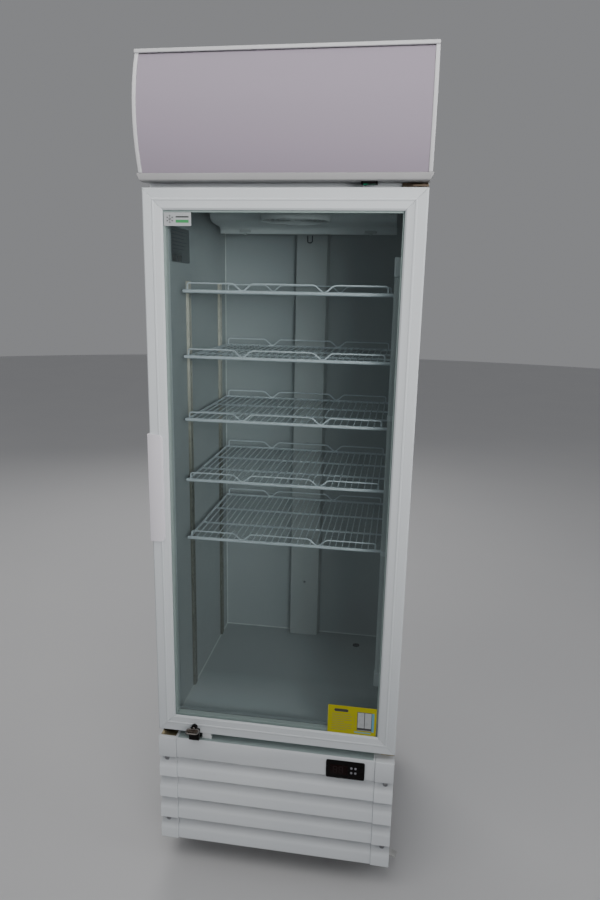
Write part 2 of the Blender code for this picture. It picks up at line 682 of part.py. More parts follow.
def frame_rail(name, corner_a, corner_b, inward):
    """Mitred rail between two outer corners (x, z), with its inner side along inward (x, z)."""
    shape = bmesh.new()
    ends = []
    along = Vector((corner_b[0] - corner_a[0], corner_b[1] - corner_a[1])).normalized()
    for corner, sign in ((corner_a, 1), (corner_b, -1)):
        ring = []
        for reach, depth in frame_section():
            x = corner[0] + inward[0] * reach + along.x * sign * (reach + GAP / 2)
            z = corner[1] + inward[1] * reach + along.y * sign * (reach + GAP / 2)
            ring.append(shape.verts.new((x, FRONT_Y + depth, z)))
        ends.append(ring)
    shape.faces.new(ends[0])
    shape.faces.new(ends[1][::-1])
    count = len(ends[0])
    for step in range(count):
        after = (step + 1) % count
        shape.faces.new((ends[0][step], ends[0][after], ends[1][after], ends[1][step]))
    bmesh.ops.recalc_face_normals(shape, faces=shape.faces)
    return piece(name, shape, WHITE_PLASTIC, HINGE)


def frame_ring(half_out, z_out, width, y_range):
    """Flat rectangular ring as a solid: outline prism with a window."""
    shape = bmesh.new()
    rows = []
    for inset, y in ((0.0, y_range[0]), (0.0, y_range[1]), (width, y_range[1]), (width, y_range[0])):
        half, low, high = half_out - inset, z_out[0] + inset, z_out[1] - inset
        corners = ((-half, low), (half, low), (half, high), (-half, high))
        rows.append([shape.verts.new((x, y, z)) for x, z in corners])
    for lower, upper in zip(rows, rows[1:] + rows[:1]):
        for step in range(4):
            after = (step + 1) % 4
            shape.faces.new((lower[step], lower[after], upper[after], upper[step]))
    bmesh.ops.recalc_face_normals(shape, faces=shape.faces)
    return shape


PIN_HOLE = 0.0045
SPACER_DEPTH = 0.0143
SPACER_WIDTH = 0.010
GASKET_HALF = 0.2860
GASKET_Z = (0.4020, 1.6890)
GASKET_WIDTH = 0.014


def make_door_frame():
    low, high = DOOR_BOTTOM, DOOR_TOP
    frame_rail("door_stile_left", (-HALF, low), (-HALF, high), (1, 0))
    frame_rail("door_stile_right", (HALF, low), (HALF, high), (-1, 0))
    top = frame_rail("door_rail_top", (-HALF, high), (HALF, high), (0, -1))
    bottom = frame_rail("door_rail_bottom", (-HALF, low), (HALF, low), (0, 1))
    cut(top, cylinder(PIN_HOLE, 0.020, 12, (HINGE.x, HINGE.y, high)))
    cut(bottom, cylinder(PIN_HOLE, 0.020, 12, (HINGE.x, HINGE.y, low)))


def make_glazing():
    """Two panes with a spacer bar between them, and the magnetic gasket behind the frame."""
    edge = HALF - GLASS_HALF
    z_glass = (DOOR_BOTTOM + edge, DOOR_TOP - edge)
    first = FRONT_Y + 0.0045 + GAP
    spacer = first + PANE + GAP
    second = spacer + SPACER_DEPTH + GAP
    bar = frame_ring(GLASS_HALF, z_glass, SPACER_WIDTH, (spacer, spacer + SPACER_DEPTH))
    piece("glass_outer", centred_box(GLASS_HALF, (first, first + PANE), z_glass), GLASS, HINGE)
    piece("glass_spacer", bar, ALUMINIUM, HINGE)
    piece("glass_inner", centred_box(GLASS_HALF, (second, second + PANE), z_glass), GLASS, HINGE)
    y_range = (FRONT_Y + DOOR_DEPTH + GAP, CASE_FRONT_Y - GAP)
    piece("door_gasket", frame_ring(GASKET_HALF, GASKET_Z, GASKET_WIDTH, y_range), RUBBER, HINGE)


HANDLE_LOW, HANDLE_HIGH = 0.909, 1.168
HANDLE_LEFT, HANDLE_RIGHT = -0.304, -0.267
HANDLE_CORNER = 0.012


def make_handle():
    """Plate that wraps the door's edge; a groove in its back clears the frame's bead."""
    rear, proud, groove = FRONT_Y - GAP, FRONT_Y - 0.0052, FRONT_Y - 0.0017
    wrap, wrap_end = -HALF - GAP, FRONT_Y + 0.036
    left, right = HANDLE_LEFT, HANDLE_RIGHT
    front = [(left, wrap_end), (left, proud + 0.003), (left + 0.001, proud + 0.001), (left + 0.003, proud)]
    front += [(right - 0.003, proud), (right, proud + 0.003), (right, rear)]
    back = [(-0.2728, rear), (-0.2728, groove), (-0.2792, groove), (-0.2792, rear)]
    back += [(wrap, rear), (wrap, wrap_end)]
    handle = piece("door_handle", prism(front + back, "Z", HANDLE_LOW, HANDLE_HIGH), WHITE_PLASTIC, HINGE)
    face = rounded_rectangle((left - 0.03, HANDLE_LOW), (right, HANDLE_HIGH), HANDLE_CORNER, 4)
    combine(handle, prism(face, "Y", FRONT_Y - THROUGH, wrap_end + THROUGH), "INTERSECT")


LOCK = Vector((-0.2035, FRONT_Y - 0.0115, 0.4165))


KEY_RADIUS = 0.0043


def make_lock():
    """Lock clasped round the front edge of the door's bottom rail, with a wide-bowed key."""
    half, low, top = 0.0130, 0.3830, 0.4110
    under = box((LOCK.x - half, LOCK.y, low), (LOCK.x + half, FRONT_Y + 0.030, DOOR_BOTTOM - GAP))
    body = piece("lock_body", under, BLACK_PLASTIC, HINGE)
    neck_back = FRONT_Y - 0.0015
    neck = cylinder(0.0075, neck_back - LOCK.y, 16, (LOCK.x, (LOCK.y + neck_back) / 2, LOCK.z), "Y")
    join(body, box((LOCK.x - half, LOCK.y, low + 0.004), (LOCK.x + half, FRONT_Y - GAP, top)), neck)
    cut(body, cylinder(KEY_RADIUS + 0.0005, 0.0180, 12, (LOCK.x, LOCK.y, LOCK.z), "Y"))

    barrel = cylinder(KEY_RADIUS, 0.0095, 12, (LOCK.x, LOCK.y + 0.0030, LOCK.z), "Y")
    key = piece("lock_key", barrel, BLACK_PLASTIC, LOCK)
    bow = rounded_rectangle((LOCK.x - 0.017, LOCK.y - 0.0225), (LOCK.x + 0.017, LOCK.y - 0.0010), 0.008, 2)
    join(key, prism(bow, "Z", LOCK.z - 0.0014, LOCK.z + 0.0014))


HINGE_PIN_RADIUS = 0.004
HINGE_PIN_LENGTH = 0.013


def make_hinges():
    """Brackets on the casing's face, each with a pin in the door's edge."""
    near, far, seat, nose = 0.246, 0.299, CASE_FRONT_Y - GAP, HINGE.y - 0.014
    plate = [(near, seat), (near, CASE_FRONT_Y - 0.020), (0.268, nose), (far, nose), (far, seat)]
    brackets = (("top_hinge", DOOR_TOP + 0.0025, 1, 0.022),
                ("bottom_hinge", DOOR_BOTTOM - 0.0055, -1, 0.0145))
    for name, z_low, sign, tab in brackets:
        bracket = piece(name, prism(plate, "Z", z_low, z_low + 0.003), ZINC)
        middle = z_low + 0.0015
        tab_z = sorted((middle, middle + sign * tab))
        pin = (HINGE.x, HINGE.y, middle - sign * HINGE_PIN_LENGTH / 2)
        join(bracket, box((near, CASE_FRONT_Y - 0.0035, tab_z[0]), (far, seat, tab_z[1])),
             cylinder(HINGE_PIN_RADIUS, HINGE_PIN_LENGTH, 12, pin))


# ------------------------------------------------------------------- shelves
FRONT_BAR = 0.0040              # radii of the shelf's wires
MIDDLE_BAR = 0.0025
SIDE_BAR = 0.0030
SHELF_WIRE = 0.0014
FENCE_WIRE = 0.0019
FENCE_ENDS = (-0.235, 0.226)
FENCE_DIPS = (-0.105, 0.084)


def fence_outline(radius):
    """Front view (x, z) of the fence wire: its centre line dips twice to the bar."""
    top, foot, dip_foot = FENCE_HEIGHT, -0.001, 0.002
    line = [(FENCE_ENDS[0], foot), (FENCE_ENDS[0], top)]
    for dip in FENCE_DIPS:
        line += [(dip - 0.021, top), (dip - 0.007, dip_foot), (dip + 0.007, dip_foot), (dip + 0.021, top)]
    line += [(FENCE_ENDS[1], top), (FENCE_ENDS[1], foot)]
    sides = ([], [])
    for index, point in enumerate(line):
        before = Vector(line[max(index - 1, 0)])
        after = Vector(line[min(index + 1, len(line) - 1)])
        here = Vector(point)
        into = (here - before).normalized() if index > 0 else (after - here).normalized()
        out = (after - here).normalized() if index < len(line) - 1 else into
        bisector = (Vector((-into.y, into.x)) + Vector((-out.y, out.x))).normalized()
        reach = radius / max(bisector.dot(Vector((-into.y, into.x))), 0.5)
        sides[0].append(tuple(here + bisector * reach))
        sides[1].append(tuple(here - bisector * reach))
    return sides[0] + sides[1][::-1]


def shelf_mesh():
    """One wire shelf at height zero: bars across, wires from front to back, two fences."""
    middle = (SHELF_FRONT_Y + SHELF_REAR_Y) / 2
    depth = SHELF_REAR_Y - SHELF_FRONT_Y
    bars = [cylinder(FRONT_BAR, 2 * SHELF_HALF, 8, (0, SHELF_FRONT_Y, 0), "X"),
            cylinder(MIDDLE_BAR, 2 * SHELF_HALF - 0.004, 6, (0, middle, -0.0030), "X"),
            cylinder(SIDE_BAR, 2 * SHELF_HALF - 0.004, 6, (0, SHELF_REAR_Y, 0), "X")]
    whole = piece("shelf_pattern", gathered(bars), WIRE_WHITE)
    rods = []
    for x in (-SHELF_HALF + 0.004, SHELF_HALF - 0.004):
        rods.append(cylinder(SIDE_BAR, depth, 6, (x, middle, -0.0003), "Y"))
    first = -SHELF_HALF + 0.022
    pitch = -2 * first / (SHELF_WIRES - 1)
    for wire in range(SHELF_WIRES):
        rods.append(cylinder(SHELF_WIRE, depth, 4, (first + pitch * wire, middle, 0.0012), "Y"))
    join(whole, gathered(rods))
    fences = []
    for y in (SHELF_FRONT_Y, SHELF_REAR_Y):
        fences.append(prism(fence_outline(FENCE_WIRE), "Y", y - 0.0018, y + 0.0018))
    join(whole, gathered(fences))
    mesh = settled_mesh(whole)
    bpy.data.objects.remove(whole, do_unlink=True)
    return mesh


def make_shelves():
    mesh = shelf_mesh()
    for number in range(SHELF_COUNT):
        shelf = bpy.data.objects.new(f"shelf_{number + 1}", mesh)
        shelf.location = (0.0, 0.0, SHELF_TOP_Z - SHELF_STEP * number)
        bpy.context.scene.collection.objects.link(shelf)


# ------------------------------------------------------------------- castors
FORK_HALF = 0.0133
FORK_SHEET = 0.0025
AXLE_RADIUS = 0.0040
PEDAL_PIVOT = Vector((0.0340, 0.0, 0.0600))


def make_fork(name, place):
    """Swivel head, bridge, two legs and the axle; the place's X axis is the trailing direction."""
    head = cylinder(0.024, CASTOR_TOP - 0.0655, 16, (0, 0, (CASTOR_TOP + 0.0655) / 2))
    bridge = box((-0.016, -FORK_HALF, 0.0590), (0.024, FORK_HALF, 0.0665))
    leg = [(-0.016, 0.0640), (-0.016, 0.0560), (0.013, 0.0190), (0.031, 0.0190), (0.031, 0.0440)]
    leg += [(0.038, 0.0560), (0.038, 0.0640)]
    legs = [prism(leg, "Y", side * (FORK_HALF - FORK_SHEET), side * FORK_HALF) for side in (-1, 1)]
    axle = cylinder(AXLE_RADIUS, 0.0260, 10, (TRAIL, 0, WHEEL_RADIUS), "Y")
    fork = piece(f"castor_fork_{name}", moved(head, place), ZINC, place.translation)
    join(fork, moved(bridge, place), moved(gathered(legs), place), moved(axle, place))


def make_wheel(name, place):
    bore, radius, half = AXLE_RADIUS + 0.0006, WHEEL_RADIUS, WHEEL_HALF_WIDTH
    shoulder = 0.002
    near = [(bore, -half), (radius - shoulder, -half), (radius, -half + shoulder)]
    far = [(radius, half - shoulder), (radius - shoulder, half), (bore, half)]
    hub = Matrix.Translation((TRAIL, 0, WHEEL_RADIUS))
    roll = hub @ Matrix.Rotation(math.pi / 2, 4, "X") @ Matrix.Rotation(math.pi / 2, 4, "Z")
    wheel = moved(turned(near + far, 20, ring=True), place @ roll)
    piece(f"castor_wheel_{name}", wheel, RUBBER, place @ hub.translation)


def make_pedal(name, place):
    barrel = cylinder(0.0030, 0.0200, 10, tuple(PEDAL_PIVOT), "Y")
    side = [(0.0335, 0.0585), (0.0850, 0.0430), (0.0860, 0.0455), (0.0800, 0.0475), (0.0350, 0.0620)]
    tread = piece(f"castor_brake_{name}", moved(barrel, place), ZINC, place @ PEDAL_PIVOT)
    join(tread, moved(prism(side, "Y", -0.0098, 0.0098), place))


def make_castor(name, x, y, heading, braked):
    place = Matrix.Translation((x, y, 0.0)) @ Matrix.Rotation(math.radians(heading), 4, "Z")
    make_fork(name, place)
    make_wheel(name, place)
    if braked:
        make_pedal(name, place)


def make_castors():
    make_castor("front_left", -CASTOR_X, CASTOR_FRONT_Y, 100, True)
    make_castor("front_right", CASTOR_X, CASTOR_FRONT_Y, -10, True)
    make_castor("rear_left", -CASTOR_X, CASTOR_REAR_Y, -70, False)
    make_castor("rear_right", CASTOR_X, CASTOR_REAR_Y, -110, False)


def build():
    clear_scene()
    make_casing()
    make_insulation_and_liner()
    make_base_frame()
    make_kick_panel()
    make_controller()
    make_compressor()
    make_condenser()
    facing_back = Matrix.Translation(CONDENSER_FAN) @ Matrix.Rotation(-math.pi / 2, 4, "X")
    fan("condenser_fan", facing_back, CONDENSER_FAN_RADIUS, 5, BLACK_PLASTIC)
    make_rear_grille()
    make_evaporator()
    fan("evaporator_fan", Matrix.Translation(EVAPORATOR_FAN), EVAPORATOR_FAN_RADIUS, 5, BLACK_PLASTIC)
    make_air_duct()
    make_pilasters()
    make_led_tube()
    make_canopy()
    make_canopy_lamp()
    make_canopy_rail()
    make_rocker()
    make_door_frame()
    make_glazing()
    make_handle()
    make_lock()
    make_hinges()
    make_shelves()
    make_castors()


build()
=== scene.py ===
"""Looks of the glass door merchandiser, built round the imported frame.

Metres, +Z up, -Y the front. Object coordinates equal world coordinates at rest,
so every procedural texture is placed in metres of the object itself.
"""
import json
import math

import bmesh
import bpy
from mathutils import Matrix, Vector

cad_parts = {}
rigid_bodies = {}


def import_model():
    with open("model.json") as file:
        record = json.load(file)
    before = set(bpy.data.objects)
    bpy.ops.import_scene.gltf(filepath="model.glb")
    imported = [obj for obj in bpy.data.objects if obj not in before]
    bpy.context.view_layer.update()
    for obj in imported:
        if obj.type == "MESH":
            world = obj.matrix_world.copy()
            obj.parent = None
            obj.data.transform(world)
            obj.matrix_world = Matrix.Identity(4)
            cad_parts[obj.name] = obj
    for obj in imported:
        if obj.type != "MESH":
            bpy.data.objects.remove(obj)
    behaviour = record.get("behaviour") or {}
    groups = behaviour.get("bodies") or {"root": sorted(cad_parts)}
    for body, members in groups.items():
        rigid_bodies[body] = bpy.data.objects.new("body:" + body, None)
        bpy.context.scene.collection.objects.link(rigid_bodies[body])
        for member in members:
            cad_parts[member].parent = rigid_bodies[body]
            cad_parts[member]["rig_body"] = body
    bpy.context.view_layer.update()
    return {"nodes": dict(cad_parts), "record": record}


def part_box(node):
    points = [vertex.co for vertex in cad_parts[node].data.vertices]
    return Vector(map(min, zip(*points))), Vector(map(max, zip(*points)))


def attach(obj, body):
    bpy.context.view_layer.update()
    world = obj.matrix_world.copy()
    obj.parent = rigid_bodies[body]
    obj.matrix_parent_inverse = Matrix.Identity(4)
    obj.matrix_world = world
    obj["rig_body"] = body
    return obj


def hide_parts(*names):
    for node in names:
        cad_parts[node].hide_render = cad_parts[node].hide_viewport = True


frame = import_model()
NODES = frame["nodes"]
SLOTS = {entry["node"]: entry["material_slot"] for entry in frame["record"]["subparts"]}


def low(node):
    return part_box(node)[0]


def high(node):
    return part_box(node)[1]


FRONT_Y = low("glass_outer").y - 0.0048         # front plane of the door
ROOM_HALF = high("inner_liner").x - 0.0015
ROOM_FLOOR = low("inner_liner").z + 0.0015
ROOM_BACK_Y = high("inner_liner").y - 0.0015
SLAT_EDGES = (0.319, 0.260, 0.197, 0.1345, 0.0715)
SLAT_PITCH = 0.0620


# ------------------------------------------------------------------- camera
def make_camera():
    """Camera at the photograph's place: yaw to the left, pitch down, slight roll."""
    yaw, pitch, roll = math.radians(8.349), math.radians(13.430), math.radians(1.177)
    forward = Vector((-math.sin(yaw) * math.cos(pitch), math.cos(yaw) * math.cos(pitch), -math.sin(pitch)))
    side = Vector((math.cos(yaw), math.sin(yaw), 0.0))
    up = side.cross(forward)
    right = side * math.cos(roll) + up * math.sin(roll)
    top = -side * math.sin(roll) + up * math.cos(roll)
    turn = Matrix((right, top, -forward)).transposed().to_4x4()
    data = bpy.data.cameras.new("camera")
    data.sensor_width = 36.0
    data.lens = 26.86
    data.clip_start = 0.05
    camera = bpy.data.objects.new("camera", data)
    camera.matrix_world = Matrix.Translation((0.2622, FRONT_Y - 1.4401, 1.4973)) @ turn
    bpy.context.scene.collection.objects.link(camera)
    bpy.context.scene.camera = camera


def area_light(name, place, target, size, watts, colour):
    data = bpy.data.lights.new(name, "AREA")
    data.shape = "RECTANGLE"
    data.size, data.size_y = size
    data.energy = watts
    data.color = colour
    light = bpy.data.objects.new(name, data)
    light.location = place
    light.rotation_euler = (Vector(target) - Vector(place)).to_track_quat("-Z", "Y").to_euler()
    bpy.context.scene.collection.objects.link(light)
    return light


def make_studio():
    """Soft studio light over a plain pale floor."""
    world = bpy.data.worlds.new("studio")
    world.use_nodes = True
    background = world.node_tree.nodes["Background"]
    background.inputs["Color"].default_value = (0.82, 0.83, 0.86, 1.0)
    background.inputs["Strength"].default_value = 0.29
    bpy.context.scene.world = world
    area_light("ceiling_light", (-0.5, -1.6, 3.6), (0.0, 0.0, 1.4), (3.0, 2.0), 34.0, (1.0, 0.985, 0.97))
    front = area_light("front_light", (1.7, -2.8, 1.9), (-0.2, 0.0, 1.75), (1.8, 1.2), 13.5,
                       (1.0, 0.985, 0.98))
    front.visible_glossy = False
    front.data.spread = math.radians(62.0)
    area_light("side_light", (2.8, -0.6, 2.6), (0.0, 0.0, 1.0), (1.6, 2.2), 12.0, (0.97, 0.98, 1.0))
    area_light("back_light", (-1.2, 3.0, 2.8), (0.0, 0.0, 1.0), (2.0, 2.0), 34.0, (1.0, 0.99, 0.98))
    floor = bmesh.new()
    bmesh.ops.create_circle(floor, cap_ends=True, segments=96, radius=14.0)
    ground = solid("studio_floor", floor, plain_floor())


# ---------------------------------------------------------------- materials
class Surface:
    """A Principled material with short calls for its procedural inputs."""

    def __init__(self, name, colour, roughness, metallic=0.0):
        self.material = bpy.data.materials.new(name)
        self.material.use_nodes = True
        self.tree = self.material.node_tree
        self.shader = self.tree.nodes["Principled BSDF"]
        self.shader.inputs["Base Color"].default_value = (*colour, 1.0)
        self.shader.inputs["Roughness"].default_value = roughness
        self.shader.inputs["Metallic"].default_value = metallic
        self.colour = (*colour, 1.0)
        self.place = self.tree.nodes.new("ShaderNodeTexCoord").outputs["Object"]

    def node(self, kind, **inputs):
        made = self.tree.nodes.new(kind)
        for key, value in inputs.items():
            made.inputs[key.replace("_", " ")].default_value = value
        return made

    def link(self, source, target):
        self.tree.links.new(source, target)

    def stretched(self, scale):
        mapping = self.node("ShaderNodeMapping", Scale=scale)
        self.link(self.place, mapping.inputs["Vector"])
        return mapping.outputs["Vector"]

    def noise(self, scale, detail=3.0, stretch=None):
        made = self.node("ShaderNodeTexNoise", Scale=scale, Detail=detail)
        self.link(self.stretched(stretch) if stretch else self.place, made.inputs["Vector"])
        return made.outputs["Fac"]

    def ramp(self, source, low_at, high_at, low_value=0.0, high_value=1.0):
        made = self.node("ShaderNodeMapRange")
        made.inputs["From Min"].default_value = low_at
        made.inputs["From Max"].default_value = high_at
        made.inputs["To Min"].default_value = low_value
        made.inputs["To Max"].default_value = high_value
        self.link(source, made.inputs["Value"])
        return made.outputs["Result"]

    def blend(self, amount, first, second):
        """Colour mix; first and second are colours or sockets."""
        made = self.tree.nodes.new("ShaderNodeMix")
        made.data_type = "RGBA"
        self.link(amount, made.inputs["Factor"])
        for value, key in ((first, "A"), (second, "B")):
            socket = [s for s in made.inputs if s.name == key and s.type == "RGBA"][0]
            if isinstance(value, tuple):
                socket.default_value = value if len(value) == 4 else (*value, 1.0)
            else:
                self.link(value, socket)
        return [s for s in made.outputs if s.type == "RGBA"][0]

    def product(self, first, second, operation="MULTIPLY"):
        made = self.tree.nodes.new("ShaderNodeMath")
        made.operation = operation
        for value, socket in ((first, made.inputs[0]), (second, made.inputs[1])):
            if isinstance(value, (int, float)):
                socket.default_value = value
            else:
                self.link(value, socket)
        return made.outputs[0]

    def axis(self, letter):
        split = self.tree.nodes.new("ShaderNodeSeparateXYZ")
        self.link(self.place, split.inputs["Vector"])
        return split.outputs[letter]

    def darken(self, factor):
        """Scale the colour by a factor, which may also be above one."""
        tone = self.tree.nodes.new("ShaderNodeVectorMath")
        tone.operation = "SCALE"
        self.link(self.shader.inputs["Base Color"].links[0].from_socket, tone.inputs[0])
        self.link(factor, tone.inputs["Scale"])
        self.paint(tone.outputs["Vector"])

    def paint(self, colour_socket):
        self.link(colour_socket, self.shader.inputs["Base Color"])

    def rough(self, source, smooth, coarse):
        self.link(self.ramp(source, 0.3, 0.7, smooth, coarse), self.shader.inputs["Roughness"])

    def bump(self, source, depth, strength=0.6):
        made = self.node("ShaderNodeBump", Strength=strength, Distance=depth)
        self.link(source, made.inputs["Height"])
        if self.shader.inputs["Normal"].is_linked:
            self.link(self.shader.inputs["Normal"].links[0].from_socket, made.inputs["Normal"])
        self.link(made.outputs["Normal"], self.shader.inputs["Normal"])


def plain_floor():
    made = Surface("studio_floor", (0.62, 0.62, 0.62), 0.6)
    made.paint(made.blend(made.noise(1.5), (0.60, 0.60, 0.61), (0.64, 0.64, 0.64)))
    return made.material


def powder_coat(name, colour, shade):
    """Sprayed enamel: orange peel, a faint uneven tone and greyer smears."""
    made = Surface(name, colour, 0.32)
    tone = made.blend(made.ramp(made.noise(3.0), 0.35, 0.7), colour, shade)
    smears = made.ramp(made.noise(14.0, 6.0, (1.0, 1.0, 0.25)), 0.60, 0.78)
    made.paint(made.blend(made.product(smears, 0.35), tone, tuple(c * 0.88 for c in shade)))
    made.rough(made.noise(25.0, 4.0), 0.26, 0.42)
    made.bump(made.noise(620.0, 2.0), 0.00025, 0.35)
    return made.material


def moulded_surface(name, colour, shade, roughness=(0.34, 0.52), grain=0.0002):
    """Extruded or moulded plastic: fine grain, faint flow marks and rubbed patches."""
    made = Surface(name, colour, roughness[0])
    flow = made.ramp(made.noise(5.0, 4.0, (1.0, 1.0, 0.4)), 0.35, 0.70)
    tone = made.blend(flow, colour, shade)
    rubs = made.ramp(made.noise(60.0, 8.0, (1.0, 1.0, 3.0)), 0.66, 0.80)
    made.paint(made.blend(made.product(rubs, 0.30), tone, tuple(c * 0.80 for c in shade)))
    made.rough(made.noise(40.0, 5.0), *roughness)
    made.bump(made.noise(1400.0, 2.0), grain, 0.25)
    return made


def moulded_plastic(*look):
    return moulded_surface(*look).material


def dull_plastic(specular, *look):
    made = moulded_surface(*look)
    made.shader.inputs["Specular IOR Level"].default_value = specular
    return made.material


def slatted_plastic():
    """Kick panel plastic: as moulded, with painted shade darkening the hollow at the top of each slat and
    painted light brightening the flat face below it.
    """
    made = moulded_surface("kick_plastic_painted_shade", (0.69, 0.72, 0.74), (0.66, 0.69, 0.715))
    height = made.axis("Z")
    turns = made.product(made.product(height, -1.0 / SLAT_PITCH), SLAT_EDGES[0] / SLAT_PITCH + 0.04, "ADD")
    # painted shade in each slat's hollow (0.86) and painted light on its flat face (1.17), set by height
    hollow = made.ramp(made.product(turns, 0.0, "FRACT"), 0.34, 0.50, 0.86, 1.17)
    on_head = made.product(height, SLAT_EDGES[0], "GREATER_THAN")
    lift = made.product(on_head, made.product(1.0, hollow, "SUBTRACT"))
    # the head above the first slat keeps its own colour, free of the painted shade and light
    made.darken(made.product(hollow, lift, "ADD"))
    return made.material


def liner_plastic():
    """Room plastic: as moulded, with painted light making the floor paler towards its front."""
    made = moulded_surface("liner_plastic", (0.43, 0.455, 0.460), (0.40, 0.425, 0.435), (0.42, 0.58))
    # painted light: the floor's colour is scaled up to 1.8 times towards the door
    forward = made.ramp(made.axis("Y"), -0.040, -0.230, 0.0, 0.80)
    on_floor = made.product(made.axis("Z"), ROOM_FLOOR + 0.004, "LESS_THAN")
    made.darken(made.product(made.product(forward, on_floor), 1.0, "ADD"))
    return made.material


def brushed_metal(name, colour, shade, roughness=(0.28, 0.46), along=(1.0, 300.0, 300.0)):
    made = Surface(name, colour, roughness[0], 1.0)
    lines = made.noise(6.0, 3.0, along)
    made.paint(made.blend(made.ramp(lines, 0.3, 0.7), colour, shade))
    made.rough(lines, *roughness)
    made.bump(lines, 0.00008, 0.3)
    return made.material


def zinc_plate(name, colour, shade, roughness=(0.30, 0.50)):
    """Passivated steel: cloudy spangle with pinkish and yellowish tints."""
    made = Surface(name, colour, roughness[0], 1.0)
    cells = made.node("ShaderNodeTexVoronoi", Scale=160.0)
    made.link(made.place, cells.inputs["Vector"])
    cloud = made.ramp(made.noise(70.0, 5.0), 0.35, 0.65)
    made.paint(made.blend(cloud, colour, shade))
    made.rough(cells.outputs["Distance"], *roughness)
    made.bump(cells.outputs["Distance"], 0.00006, 0.25)
    return made.material


def pilaster_steel():
    """Plated channel: pale above, dark below the middle shelves."""
    made = Surface("pilaster_steel", (0.72, 0.67, 0.58), 0.35, 0.30)
    height = made.ramp(made.axis("Z"), 1.00, 1.32)
    upper_cloud = made.ramp(made.noise(70.0, 5.0), 0.35, 0.65)
    lower_cloud = made.ramp(made.noise(160.0, 5.0), 0.35, 0.65)
    bright = made.blend(upper_cloud, (0.86, 0.81, 0.71), (0.74, 0.69, 0.60))
    dull = made.blend(lower_cloud, (0.15, 0.15, 0.12), (0.26, 0.26, 0.22))
    made.paint(made.blend(height, dull, bright))
    made.rough(made.noise(90.0, 4.0), 0.28, 0.46)
    made.bump(made.noise(500.0, 2.0), 0.0001, 0.3)
    return made.material


def soft_rubber(name, colour, shade):
    made = Surface(name, colour, 0.62)
    dust = made.ramp(made.noise(90.0, 6.0), 0.50, 0.75)
    made.paint(made.blend(dust, colour, shade))
    made.rough(made.noise(120.0), 0.55, 0.78)
    made.bump(made.noise(900.0, 2.0), 0.0002, 0.4)
    return made.material


def sign_acrylic():
    """Translucent opal sheet over an unlit lamp: cool lavender, with faint pressing bands."""
    made = Surface("sign_acrylic", (0.47, 0.44, 0.50), 0.50)
    bands = made.ramp(made.noise(2.2, 2.0, (0.3, 1.0, 2.5)), 0.3, 0.7)
    tone = made.blend(bands, (0.350, 0.304, 0.368), (0.333, 0.290, 0.350))
    specks = made.ramp(made.noise(160.0, 6.0), 0.70, 0.82)
    made.paint(made.blend(made.product(specks, 0.25), tone, (0.36, 0.34, 0.37)))
    made.rough(made.noise(30.0, 4.0), 0.52, 0.60)
    made.bump(made.noise(9.0, 2.0, (1.0, 1.0, 0.5)), 0.0006, 0.12)
    made.shader.inputs["Specular IOR Level"].default_value = 0.35
    return made.material


def pane_glass():
    """Clear pane: tinted passage straight through, mirror by Fresnel, with a faint film of smears."""
    made = Surface("pane_glass", (0.9, 0.95, 0.95), 0.03, 1.0)
    clear = made.node("ShaderNodeBsdfTransparent", Color=(0.950, 0.970, 0.970, 1.0))
    mix = made.tree.nodes.new("ShaderNodeMixShader")
    fresnel = made.node("ShaderNodeFresnel", IOR=1.45)
    smears = made.ramp(made.noise(7.0, 6.0, (1.0, 1.0, 0.35)), 0.52, 0.80, 0.0, 0.012)
    mirror = made.product(fresnel.outputs["Fac"], 0.5)
    made.link(made.product(mirror, smears, "ADD"), mix.inputs["Fac"])
    made.link(clear.outputs["BSDF"], mix.inputs[1])
    made.link(made.shader.outputs["BSDF"], mix.inputs[2])
    made.rough(made.noise(18.0, 5.0), 0.02, 0.07)
    output = made.tree.nodes["Material Output"]
    made.link(mix.outputs["Shader"], output.inputs["Surface"])
    return made.material


def glass_edge():
    made = Surface("glass_edge", (0.10, 0.30, 0.25), 0.15)
    made.paint(made.blend(made.noise(30.0, 3.0, (1.0, 1.0, 0.2)), (0.07, 0.24, 0.20), (0.16, 0.38, 0.33)))
    made.bump(made.noise(400.0), 0.0002, 0.4)
    return made.material


def frosted_lamp(name, colour):
    made = Surface(name, colour, 0.35)
    made.paint(made.blend(made.noise(40.0, 3.0, (1.0, 1.0, 0.1)), colour, tuple(c * 0.93 for c in colour)))
    made.bump(made.noise(700.0), 0.00015, 0.3)
    made.shader.inputs["Subsurface Weight"].default_value = 0.2
    made.shader.inputs["Subsurface Radius"].default_value = (0.004, 0.004, 0.004)
    return made.material


